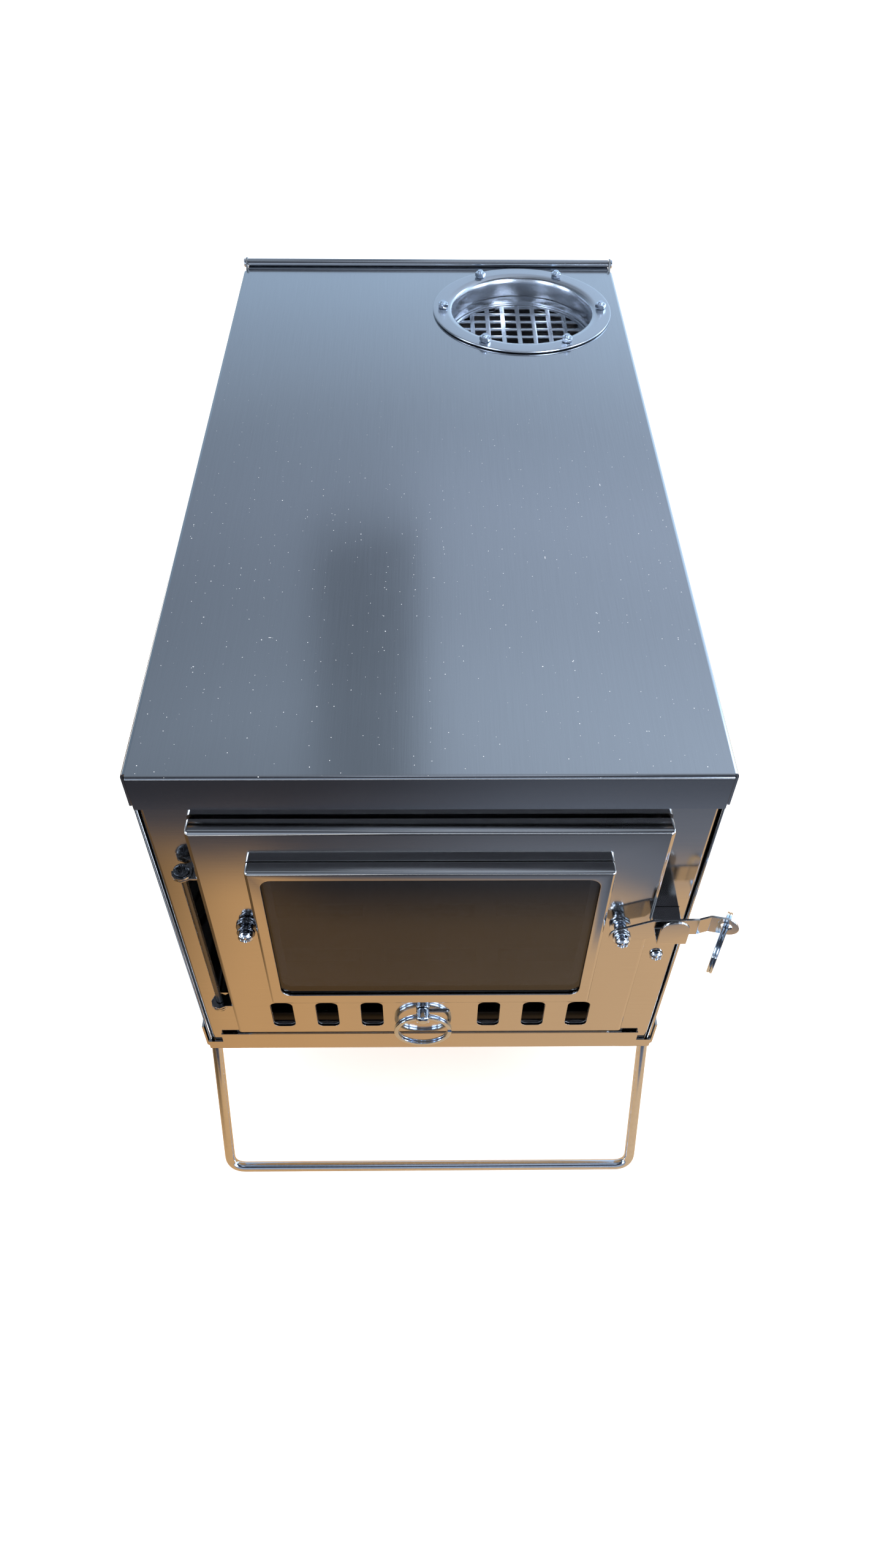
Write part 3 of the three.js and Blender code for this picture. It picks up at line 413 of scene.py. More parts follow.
@dataclass(frozen=True)
class WovenFibre:
    """Sooted fibre tape of the glass seal: crossing yarns that swell and dip."""

    name: str
    colour: tuple[float, float, float] = (0.10, 0.093, 0.085)
    yarn_scale: float = 420.0
    fuzz_scale: float = 2400.0

    def material(self) -> bpy.types.Material:
        """Builds the node tree.

        Returns:
            The finished material.
        """
        paint = Paint(self.name)
        across = paint.node("ShaderNodeTexWave", {"bands_direction": "DIAGONAL"},
                            {"Vector": paint.place(), "Scale": self.yarn_scale, "Distortion": 1.5}, "Fac")
        fuzz = paint.noise(paint.place(), self.fuzz_scale, 2.0, 0.6)
        height = across * 0.7 + fuzz * 0.3
        return paint.finish({
            "Base Color": paint.mix(height, rgba(self.colour, 0.6), rgba(self.colour, 1.2)),
            "Roughness": fuzz * 0.1 + 0.85,
            "Normal": paint.bump(height, 0.5, 0.0004),
        })


def behind_vents() -> tuple[Vector, Vector]:
    """The box behind the vents, where the frame's sill shows through them and gets painted shade."""
    low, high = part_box("damper_plate")
    return low - Vector((4 * MM, 0, 9 * MM)), high + Vector((4 * MM, 12 * MM, 0))


def once(finish: Callable[..., RolledSteel | Plated | StoveGlass | WovenFibre], name: str,
         **settings: object) -> Any:
    """A dataclass field that makes a finish's material when the stove is built.

    Args:
        finish: the kind of finish.
        name: the material's name.
        settings: the finish's own fields.

    Returns:
        The field.
    """
    return field(default_factory=lambda: finish(name, **settings).material())


@dataclass(frozen=True)
class Finishes:
    """All the finishes of the stove, made once."""

    panel: bpy.types.Material = once(RolledSteel, "panel_steel_satin")
    # painted shade: the frame's steel made near black in the box behind the vents
    sooted: bpy.types.Material = once(RolledSteel, "panel_steel_sooted", soot=behind_vents())
    inner: bpy.types.Material = once(
        RolledSteel, "inner_steel_satin", colour=(0.50, 0.50, 0.51), roughness=0.34, relief=0.05)
    top: bpy.types.Material = once(
        RolledSteel, "top_steel_satin", colour=(0.56, 0.575, 0.60), grain=(1800.0, 30.0, 1800.0),
        roughness=0.13, cloud=0.04, dust=60.0)
    flue: bpy.types.Material = once(
        RolledSteel, "flue_steel_satin", colour=(0.64, 0.66, 0.70), grain=(900.0, 900.0, 900.0),
        contrast=0.04, roughness=0.24, cloud=0.05)
    bright: bpy.types.Material = once(Plated, "plated_bright")
    chrome: bpy.types.Material = once(
        Plated, "plated_chrome", colour=(0.62, 0.73, 0.88), roughness=0.08, smear=0.04)
    # painted shade: the bright plating made dark for the left clamp stack, whose washers sit in shade and
    # mirror dark surroundings
    shaded_plating: bpy.types.Material = once(Plated, "plated_smoked", colour=(0.22, 0.235, 0.26), roughness=0.16)
    dark: bpy.types.Material = once(Plated, "plated_dark", colour=(0.11, 0.112, 0.12), roughness=0.26)
    glass: bpy.types.Material = once(StoveGlass, "window_glass_smoky")
    fibre: bpy.types.Material = once(WovenFibre, "fibre_tape")


# ---------------------------------------------------------------- surfaces


@dataclass
class Patch:
    """A grid of points, rows by columns, that may close on itself either way."""

    points: np.ndarray
    wrap_rows: bool = False
    wrap_columns: bool = False

    def faces(self, start: int) -> np.ndarray:
        """Corner numbers of the grid's four-sided faces: each point with its next neighbours.

        Args:
            start: the number of the grid's first point in the whole mesh.

        Returns:
            An array of four numbers for each face.
        """
        rows, columns = self.points.shape[:2]
        i = np.arange(rows - (not self.wrap_rows))[:, None]
        j = np.arange(columns - (not self.wrap_columns))[None, :]
        below, right = (i + 1) % rows, (j + 1) % columns
        corners = np.broadcast_arrays(i * columns + j, below * columns + j, below * columns + right,
                                      i * columns + right)
        return start + np.stack(corners, axis=-1).reshape(-1, 4)


def rounded(profile: np.ndarray, radius: float, steps: int = 4, closed: bool = False) -> np.ndarray:
    """Rounds the corners of a broken line.

    Each corner is replaced by a curve (1-t)^2 A + 2t(1-t) B + t^2 C, where B is the corner and A and C
    lie at the radius before and after it, or at under half of a shorter side.

    Args:
        profile: the corners, one row each.
        radius: how far the rounding reaches from a corner.
        steps: points added on each corner.
        closed: whether the line closes on itself.

    Returns:
        The rounded line.
    """
    before, after = np.roll(profile, 1, axis=0) - profile, np.roll(profile, -1, axis=0) - profile
    reach_in = np.linalg.norm(before, axis=1, keepdims=True)
    reach_out = np.linalg.norm(after, axis=1, keepdims=True)
    enter = profile + before / reach_in * np.minimum(radius, 0.48 * reach_in)
    leave = profile + after / reach_out * np.minimum(radius, 0.48 * reach_out)
    t = np.linspace(0, 1, steps)[None, :, None]
    curve = (1 - t) ** 2 * enter[:, None] + 2 * t * (1 - t) * profile[:, None] + t ** 2 * leave[:, None]
    if closed:
        return curve.reshape(-1, profile.shape[1])
    inner = curve[1:-1].reshape(-1, profile.shape[1])
    return np.concatenate([profile[:1], inner, profile[-1:]])


def lathe(profile: np.ndarray, sides: int = 48) -> np.ndarray:
    """A profile turned about the height axis: (r cos a, r sin a, h) for each (r, h) and each angle a.

    Args:
        profile: rows of radius and height.
        sides: points round the turn.

    Returns:
        Points in rows by columns, with the height last.
    """
    angle = np.linspace(0, TURN, sides, endpoint=False)[None, :]
    radius, height = profile[:, 0][:, None], profile[:, 1][:, None]
    return np.stack([radius * np.cos(angle), radius * np.sin(angle), height + 0 * angle], axis=-1)


def stand(points: np.ndarray, axis: Axis, foot: tuple[float, float, float]) -> np.ndarray:
    """Turns points so that their height runs up or towards the viewer, and moves them to a foot point.

    Args:
        points: the turned points, with the height last.
        axis: which way the height points.
        foot: where the point of no height goes.

    Returns:
        The points in their place.
    """
    if axis is Axis.FRONT:
        points = np.stack([points[..., 0], -points[..., 2], points[..., 1]], axis=-1)
    return points + np.array(foot)


def swept(path: np.ndarray, section: np.ndarray, normal: np.ndarray, closed: bool = False) -> Patch:
    """Carries a flat section along a path.

    A point is path + u side + v normal, where (u, v) is a point of the section and side is the path's
    direction crossed with the normal. Open ends are closed on the path's own end points.

    Args:
        path: the points of the path.
        section: the closed section's (u, v) points.
        normal: one direction, or one for each point of the path.
        closed: whether the path closes on itself.

    Returns:
        The surface.
    """
    if closed:
        tangent = np.roll(path, -1, axis=0) - np.roll(path, 1, axis=0)
    else:
        tangent = np.gradient(path, axis=0)
    tangent /= np.linalg.norm(tangent, axis=1, keepdims=True)
    normal = np.broadcast_to(normal, path.shape)
    side = np.cross(tangent, normal)
    points = path[:, None] + section[None, :, :1] * side[:, None] + section[None, :, 1:] * normal[:, None]
    if not closed:
        ends = [np.repeat(path[k][None, None], section.shape[0], axis=1) for k in (0, -1)]
        points = np.concatenate([ends[0], points, ends[1]])
    return Patch(points, wrap_rows=closed, wrap_columns=True)


def round_section(radius: float, count: int = 20) -> np.ndarray:
    """A circle's points: (r cos a, r sin a)."""
    angle = np.linspace(0, TURN, count, endpoint=False)
    return radius * np.stack([np.cos(angle), np.sin(angle)], axis=-1)


def flat_section(width: float, height: float, edge: float) -> np.ndarray:
    """A rectangle with rounded corners, centred on the path.

    Args:
        width: the size across the path, along the side.
        height: the size along the normal.
        edge: the rounding's reach.

    Returns:
        The section's points.
    """
    half = np.array([width, height]) / 2
    corners = np.array([[-1, -1], [1, -1], [1, 1], [-1, 1]]) * half
    return rounded(corners, edge, 3, closed=True)


def ease(value: np.ndarray) -> np.ndarray:
    """A smooth step from 0 to 1: 3 v^2 - 2 v^3, with v held between them."""
    value = np.clip(value, 0, 1)
    return value ** 2 * (3 - 2 * value)


def cross_recess(points: np.ndarray, radius: float, depth: float) -> np.ndarray:
    """Sinks a cross into a turned head's crown.

    Height loses depth times two smooth steps: one falls off past an arm's half width, measured as the
    smaller of |x| and |y|, and the other past the arm's length, measured as the larger of them.

    Args:
        points: the turned points.
        radius: the head's radius.
        depth: the depth at the middle.

    Returns:
        The points with the recess.
    """
    x, y = np.abs(points[..., 0]), np.abs(points[..., 1])
    arm = ease((0.17 * radius - np.minimum(x, y)) / (0.10 * radius) + 0.5)
    length = ease((0.62 * radius - np.maximum(x, y)) / (0.30 * radius) + 0.4)
    top = points[..., 2] > 0.3 * points[..., 2].max()
    sunk = points.copy()
    sunk[..., 2] -= depth * arm * length * top
    return sunk


def made(name: str, patches: list[Patch], sharp: float = 35.0) -> bpy.types.Object:
    """Puts grids into one mesh object, with doubles merged and faces pointing out.

    Args:
        name: the object's name.
        patches: the surfaces.
        sharp: edges that turn by more than this many degrees stay sharp.

    Returns:
        The object, linked to the scene.
    """
    sizes = [patch.points.shape[0] * patch.points.shape[1] for patch in patches]
    starts = np.concatenate([[0], np.cumsum(sizes)[:-1]])
    points = np.concatenate([patch.points.reshape(-1, 3) for patch in patches])
    faces = np.concatenate([patch.faces(int(start)) for patch, start in zip(patches, starts)])
    mesh = bpy.data.meshes.new(name)
    mesh.from_pydata(points.tolist(), [], faces.tolist())
    tidy(mesh, recalculate=True)
    mesh.set_sharp_from_angle(angle=math.radians(sharp))
    item = bpy.data.objects.new(name, mesh)
    bpy.context.scene.collection.objects.link(item)
    return item


def tidy(mesh: bpy.types.Mesh, recalculate: bool = False) -> None:
    """Merges doubles, may turn the faces outwards, and smooths the shading.

    Args:
        mesh: the mesh, changed in place.
        recalculate: whether to turn its faces outwards.
    """
    work = bmesh.new()
    work.from_mesh(mesh)
    bmesh.ops.remove_doubles(work, verts=work.verts, dist=1e-6)
    if recalculate:
        bmesh.ops.recalc_face_normals(work, faces=work.faces)
    work.to_mesh(mesh)
    work.free()
    mesh.polygons.foreach_set("use_smooth", np.ones(len(mesh.polygons), dtype=bool))
    mesh.update()


def dress(item: bpy.types.Object, body: Body, slot: Slot, material: bpy.types.Material, *nodes: str) -> None:
    """Gives a new piece its material and body, and hides the CAD nodes that it stands for.

    Args:
        item: the new piece.
        body: the body that it rides on.
        slot: its material slot; not used.
        material: its finish.
        nodes: the CAD nodes that it stands for.
    """
    item.data.materials.clear()
    item.data.materials.append(material)
    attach(item, body.value)
    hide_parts(*nodes)
    LOG.info("%s: %d faces, rides on %s", item.name, len(item.data.polygons), body.value)


def skin(node: str, body: Body, slot: Slot, material: bpy.types.Material,
         edge: float = 0.0002) -> bpy.types.Mesh:
    """A smooth-shaded copy of a CAD node with softened edges, which stands for it.

    Args:
        node: the CAD node.
        body: the body that it rides on.
        slot: its material slot.
        material: its finish.
        edge: the width of the softened edges.

    Returns:
        The copy's mesh.
    """
    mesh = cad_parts[node].data.copy()
    mesh.name = node + "_skin"
    tidy(mesh)
    mesh.set_sharp_from_angle(angle=math.radians(50))
    item = bpy.data.objects.new(node + "_skin", mesh)
    bpy.context.scene.collection.objects.link(item)
    bevel = item.modifiers.new("soft_edges", "BEVEL")
    bevel.width = edge
    bevel.segments = 2
    bevel.limit_method = "ANGLE"
    bevel.angle_limit = math.radians(50)
    bevel.use_clamp_overlap = True
    weighted = item.modifiers.new("flat_faces", "WEIGHTED_NORMAL")
    weighted.keep_sharp = True
    dress(item, body, slot, material, node)
    return mesh


@dataclass
class Spot:
    """Where a CAD node is: its box's corners and middle."""

    low: Vector
    high: Vector

    @classmethod
    def of(cls, node: str) -> "Spot":
        """The spot of a CAD node."""
        return cls(*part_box(node))

    @property
    def middle(self) -> Vector:
        """The middle of the box."""
        return (self.low + self.high) / 2

    @property
    def size(self) -> Vector:
        """The box's three sizes."""
        return self.high - self.low


# ---------------------------------------------------------------- fasteners


@dataclass
class Fastener:
    """A turned piece of hardware that stands for one CAD node."""

    node: str
    body: Body
    axis: Axis = Axis.FRONT
    slot: Slot = Slot.BRIGHT

    def placed(self, points: np.ndarray, spot: Spot, ring: bool = False) -> list[Patch]:
        """Stands turned points on the low end of the box along the axis.

        Args:
            points: the turned points.
            spot: the CAD node's box.
            ring: whether the profile closes on itself.

        Returns:
            The one surface.
        """
        if self.axis is Axis.FRONT:
            foot = (spot.middle.x, spot.high.y, spot.middle.z)
        else:
            foot = (spot.middle.x, spot.middle.y, spot.low.z)
        return [Patch(stand(points, self.axis, foot), wrap_rows=ring, wrap_columns=True)]

    def length(self, spot: Spot) -> float:
        """The box's size along the axis."""
        return spot.size.y if self.axis is Axis.FRONT else spot.size.z

    def patches(self, spot: Spot) -> list[Patch]:
        """The surfaces in the scene's frame."""
        raise NotImplementedError

    def build(self, material: bpy.types.Material) -> None:
        """Makes the piece and dresses it."""
        item = made(self.node + "_detail", self.patches(Spot.of(self.node)))
        dress(item, self.body, self.slot, material, self.node)


@dataclass
class CrossScrew(Fastener):
    """A pan head screw: straight shank, rounded head and a sunk cross."""

    shank: float = 1.5 * MM
    head: float = 3.1 * MM
    crown: float = 2.3 * MM
    rim_share: float = 0.42
    fullness: float = 2.8
    recess: float = 1.1 * MM
    chamfer: float = 0.15 * MM
    sides: int = 72

    def patches(self, spot: Spot) -> list[Patch]:
        """Turned profile whose crown's height is rim + (crown - rim)(1 - (r / head)^fullness).

        Args:
            spot: the CAD node's box.

        Returns:
            The one surface.
        """
        base = self.length(spot) - self.crown
        rim = self.crown * self.rim_share
        share = np.linspace(1, 0, 26)
        dome = np.stack([self.head * share, base + rim + (self.crown - rim) * (1 - share ** self.fullness)],
                        axis=-1)
        below = np.array([[0, 0], [self.shank * 0.8, 0], [self.shank, 0.2 * MM], [self.shank, base],
                          [self.head, base], [self.head, base + rim]])
        points = lathe(np.concatenate([rounded(below, self.chamfer, 3), dome[1:]]), self.sides)
        raised = np.array([0, 0, base])
        return self.placed(cross_recess(points - raised, self.head, self.recess) + raised, spot)


@dataclass
class HexNut(Fastener):
    """A six-sided nut with both faces chamfered and a round bore."""

    bore: float = 1.6 * MM
    apothem: float = 2.75 * MM
    cone_share: float = 0.94
    cone_slope: float = 1.75
    turn: float = 0.0
    sides: int = 72

    def patches(self, spot: Spot) -> list[Patch]:
        """Radius is the smaller of the hexagon's apothem / cos(a) and a cone that widens from each face.

        Args:
            spot: the CAD node's box.

        Returns:
            The one surface.
        """
        height = self.length(spot)
        angle = np.linspace(0, TURN, self.sides, endpoint=False)
        hexagon = self.apothem / np.cos((angle - self.turn) % (TURN / 6) - TURN / 12)
        levels = height * np.array([0, 0.05, 0.10, 0.16, 0.24, 0.5, 0.76, 0.84, 0.90, 0.95, 1])
        cone = self.cone_share * self.apothem + self.cone_slope * np.minimum(levels, height - levels)
        bore = np.full((1, self.sides), self.bore)
        radius = np.concatenate([bore, np.minimum(hexagon[None, :], cone[:, None]), bore])
        levels = np.concatenate([[0], levels, [height]])[:, None] + 0 * radius
        points = np.stack([radius * np.cos(angle), radius * np.sin(angle), levels], axis=-1)
        return self.placed(points, spot, ring=True)


@dataclass
class Washer(Fastener):
    """A flat washer or sleeve: a ring of rounded rectangular section."""

    radius: float = 4.6 * MM
    bore: float = 1.65 * MM
    spread: float = 0.12 * MM
    edge: float = 0.2 * MM

    def patches(self, spot: Spot) -> list[Patch]:
        """A closed profile turned about the axis, a little thicker than the CAD to make the stack tight.

        Args:
            spot: the CAD node's box.

        Returns:
            The one surface.
        """
        low, high = -self.spread, self.length(spot) + self.spread
        corners = np.array([[self.bore, low], [self.radius, low], [self.radius, high], [self.bore, high]])
        return self.placed(lathe(rounded(corners, self.edge, 4, closed=True), 64), spot, ring=True)


@dataclass
class SpringWasher(Fastener):
    """A split lock washer: one turn of square wire with its ends a little apart."""

    radius: float = 3.0 * MM
    bore: float = 1.65 * MM
    gap: float = 0.16
    gap_place: float = 1.1
    lift: float = 0.22 * MM
    edge: float = 0.15 * MM

    def patches(self, spot: Spot) -> list[Patch]:
        """A flat section carried round (r cos a, r sin a, lift a / 2 pi) from one end to the other.

        Args:
            spot: the CAD node's box.

        Returns:
            The one surface.
        """
        angle = np.linspace(self.gap, TURN - self.gap, 60) + self.gap_place
        middle = (self.radius + self.bore) / 2
        height = self.length(spot) / 2 + self.lift * ((angle - self.gap_place) / TURN - 0.5)
        path = np.stack([middle * np.cos(angle), middle * np.sin(angle), height], axis=-1)
        section = flat_section(self.radius - self.bore, self.length(spot), self.edge)
        return self.placed(swept(path, section, UPWARD).points, spot)


@dataclass
class Stud(Fastener):
    """A round-headed stud through the collar, with the turns of its thread on the free end."""

    axis: Axis = Axis.UP
    shank: float = 1.5 * MM
    head: float = 2.6 * MM
    head_height: float = 1.6 * MM
    pitch: float = 0.5 * MM
    thread: float = 5 * MM
    thread_share: float = 0.05

    def patches(self, spot: Spot) -> list[Patch]:
        """Turned profile; on the free end the radius ripples by a cosine of height / pitch plus a / 2 pi.

        Args:
            spot: the CAD node's box.

        Returns:
            The one surface.
        """
        length = self.length(spot)
        profile = rounded(np.array([[0, 0], [self.head, 0], [self.head, self.head_height],
                                    [self.shank, self.head_height]]), 0.3 * MM, 4)
        levels = np.linspace(self.head_height, length, 90)
        shaft = np.stack([np.full_like(levels, self.shank), levels], axis=-1)
        crown = np.array([[self.shank * 0.72, length], [0, length]])
        points = lathe(np.concatenate([profile, shaft[1:], crown]), 32)
        angle = np.arctan2(points[..., 1], points[..., 0])
        free = (points[..., 2] > length - self.thread) & (points[..., 2] < length - 0.15 * MM)
        ripple = 1 - self.thread_share * free * (1 + np.cos(TURN * points[..., 2] / self.pitch + angle))
        points[..., :2] *= ripple[..., None]
        return self.placed(points, spot)


@dataclass
class SplitRing:
    """A key ring of flat wire wound twice round, sprung a little open."""

    node: str
    body: Body
    centre: Vector
    across: Vector
    outer: float = 14.0 * MM
    inner: float = 12.0 * MM
    width: float = 2.4 * MM
    edge: float = 0.42 * MM
    spring: float = 0.0

    def build(self, material: bpy.types.Material) -> None:
        """Winds the band along two turns and dresses it.

        The path is centre + r (cos a right + sin a up) + h across, for a from 0 to 4 pi. Its height h steps
        from one half of the width to the other, and the second turn swings away by spring (1 - cos a) / 2.

        Args:
            material: the ring's finish.
        """
        angle = np.linspace(0.02, 2 * TURN - 0.02, 260)
        second = ease((angle - TURN * 0.96) / (TURN * 0.08))
        middle = (self.outer + self.inner) / 2
        across = np.array(self.across.normalized())
        right = np.cross(UPWARD, across)
        height = (second - 0.5) * self.width * 0.5 + second * self.spring * (1 - np.cos(angle)) / 2
        circle = np.cos(angle)[:, None] * right + np.sin(angle)[:, None] * UPWARD
        path = np.array(self.centre) + middle * circle + height[:, None] * across
        section = flat_section(self.outer - self.inner, self.width * 0.48, self.edge)
        item = made(self.node + "_wound", [swept(path, section, across)])
        dress(item, self.body, Slot.BRIGHT, material, self.node)


# ---------------------------------------------------------------- sub-assemblies


@dataclass
class StoveBody:
    """The folded shell: tray, walls, grate, hinge pins and the catch."""

    finishes: Finishes
    panels: tuple[str, ...] = (
        "bottom_tray", "side_panel_left", "side_panel_right", "rear_panel", "latch_catch",
        "front_leg_clip_left", "front_leg_clip_right", "rear_leg_clip_left", "rear_leg_clip_right")
    pin_radius: float = 1.4 * MM
    pin_head: float = 3.2 * MM
    pin_crown: float = 1.9 * MM
    flange_gap: float = 0.9 * MM
    flange_depth: float = 3.0 * MM

    def build(self) -> None:
        """Dresses the walls and makes the body's own hardware."""
        for node in self.panels:
            skin(node, Body.ROOT, Slot.PANEL, self.finishes.panel)
        # the front frame takes the steel with painted shade behind the vents
        sheet = skin("front_frame", Body.ROOT, Slot.PANEL, self.finishes.sooted)
        self.close_up(sheet, Spot.of("front_frame"))
        skin("fire_grate", Body.ROOT, Slot.TOP, self.finishes.inner)
        skin("lid_hinge_pin", Body.ROOT, Slot.PANEL, self.finishes.bright)
        CrossScrew("door_hinge_pin", Body.ROOT, Axis.UP, shank=self.pin_radius, head=self.pin_head,
                   crown=self.pin_crown, recess=0.9 * MM).build(self.finishes.dark)
        HexNut("door_hinge_nut", Body.ROOT, Axis.UP, Slot.BLACK,
               bore=self.pin_radius).build(self.finishes.dark)
        CrossScrew("catch_screw", Body.ROOT).build(self.finishes.bright)
        HexNut("catch_nut", Body.ROOT).build(self.finishes.bright)

    def close_up(self, mesh: bpy.types.Mesh, spot: Spot) -> None:
        """Brings the frame's flanges against the side panels: points near its sides move out by the gap.

        Args:
            mesh: the frame's mesh, changed in place.
            spot: the frame's box.
        """
        points = np.empty(len(mesh.vertices) * 3, dtype=np.float32)
        mesh.vertices.foreach_get("co", points)
        points = points.reshape(-1, 3)
        off = points[:, 0] - spot.middle.x
        points[:, 0] += np.sign(off) * self.flange_gap * (np.abs(off) > spot.size.x / 2 - self.flange_depth)
        mesh.vertices.foreach_set("co", points.ravel())
        mesh.update()


@dataclass
class FireDoor:
    """The door pan with its window, the clamps on both sides of the glass and the damper's rails."""

    finishes: Finishes
    sides: tuple[str, ...] = ("left", "right")

    def build(self) -> None:
        """Dresses the sheets and makes the glass clamps."""
        steel, bright = self.finishes.panel, self.finishes.bright
        for node in ("door_panel", "window_frame"):
            skin(node, Body.DOOR, Slot.PANEL, steel)
        skin("window_glass", Body.DOOR, Slot.WINDOW, self.finishes.glass, edge=0.3 * MM)
        skin("glass_gasket", Body.DOOR, Slot.FIBRE, self.finishes.fibre)
        for node in ("glass_retainer", "damper_rail_upper", "damper_rail_lower"):
            skin(node, Body.DOOR, Slot.TOP, self.finishes.inner)
        for node in ("window_screw", "latch_pivot_screw"):
            CrossScrew(node, Body.DOOR).build(bright)
        # painted shade: the left stack's sleeve and washers take the darkened plating, while the right
        # stack's stay bright
        for side, plating in zip(self.sides, (self.finishes.shaded_plating, bright)):
            Washer("clamp_sleeve_" + side, Body.DOOR, radius=2.8 * MM, edge=0.3 * MM).build(plating)
            Washer("clamp_washer_" + side, Body.DOOR).build(plating)
            Washer("outer_washer_" + side, Body.DOOR, radius=3.9 * MM).build(plating)
            SpringWasher("spring_washer_" + side, Body.DOOR).build(plating)
            HexNut("clamp_nut_" + side, Body.DOOR).build(bright)


@dataclass
class AirDamper:
    """The sliding plate behind the vents, its knob and the ring through the knob."""

    finishes: Finishes
    radius: float = 3.3 * MM
    neck: float = 1.7 * MM
    rivet: float = 2.8 * MM
    rivet_height: float = 0.9 * MM
    length: float = 6.2 * MM
    eye: float = 3.1 * MM
    eye_radius: float = 2.3 * MM
    ring_middle: float = 13.0 * MM

    def build(self) -> None:
        """Dresses the plate and makes the knob and its ring."""
        skin("damper_plate", Body.DAMPER, Slot.TOP, self.finishes.inner)
        spot = Spot.of("damper_knob")
        self.knob(spot)
        eye = Vector((spot.middle.x, spot.low.y + self.length - self.eye, spot.middle.z))
        centre = eye - Vector((0, 0, self.ring_middle))
        SplitRing("damper_ring", Body.DAMPER_RING, centre, Vector((0, -1, 0)), spring=0.3 * MM).build(
            self.finishes.chrome)

    def knob(self, spot: Spot) -> None:
        """A turned stub with a cross hole: near the eye its x shrinks inside a circle seen from each side.

        Args:
            spot: the CAD node's box.
        """
        whole = spot.size.y
        base = whole - self.length
        corners = np.array([[0, 0], [self.rivet, 0], [self.rivet, self.rivet_height],
                            [self.neck, self.rivet_height], [self.neck, base], [self.radius, base],
                            [self.radius, whole - 0.9 * MM], [self.radius * 0.55, whole], [0, whole]])
        coarse = rounded(corners, 0.5 * MM, 5)
        row = np.argmax(coarse[:, 1] > base + 0.6 * MM)
        levels = np.linspace(base + 0.5 * MM, whole - 1.4 * MM, 28)
        shaft = np.stack([np.full_like(levels, self.radius), levels], axis=-1)
        points = lathe(np.concatenate([coarse[:row], shaft, coarse[row:]]), 96)
        far = np.hypot(points[..., 2] - (base + self.eye), points[..., 1])
        sunk = np.clip((self.eye_radius * 0.9 - far) / (0.25 * MM), 0, 1)
        points[..., 0] *= 1 - 0.85 * sunk
        foot = (spot.middle.x, spot.high.y, spot.middle.z)
        item = made("damper_knob_turned", [Patch(stand(points, Axis.FRONT, foot), wrap_columns=True)])
        dress(item, Body.DAMPER, Slot.BRIGHT, self.finishes.chrome, "damper_knob")


@dataclass
class DoorLatch:
    """The cranked lever and the ring in its end."""

    finishes: Finishes
    ring_turn: float = math.radians(26)

    def build(self) -> None:
        """Dresses the lever and winds its ring."""
        skin("latch_lever", Body.LATCH, Slot.PANEL, self.finishes.panel, edge=0.15 * MM)
        across = Vector((math.cos(self.ring_turn), -math.sin(self.ring_turn), 0))
        SplitRing("latch_ring", Body.LATCH_RING, Spot.of("latch_ring").middle, across, outer=13.8 * MM,
                  inner=11.8 * MM).build(self.finishes.chrome)


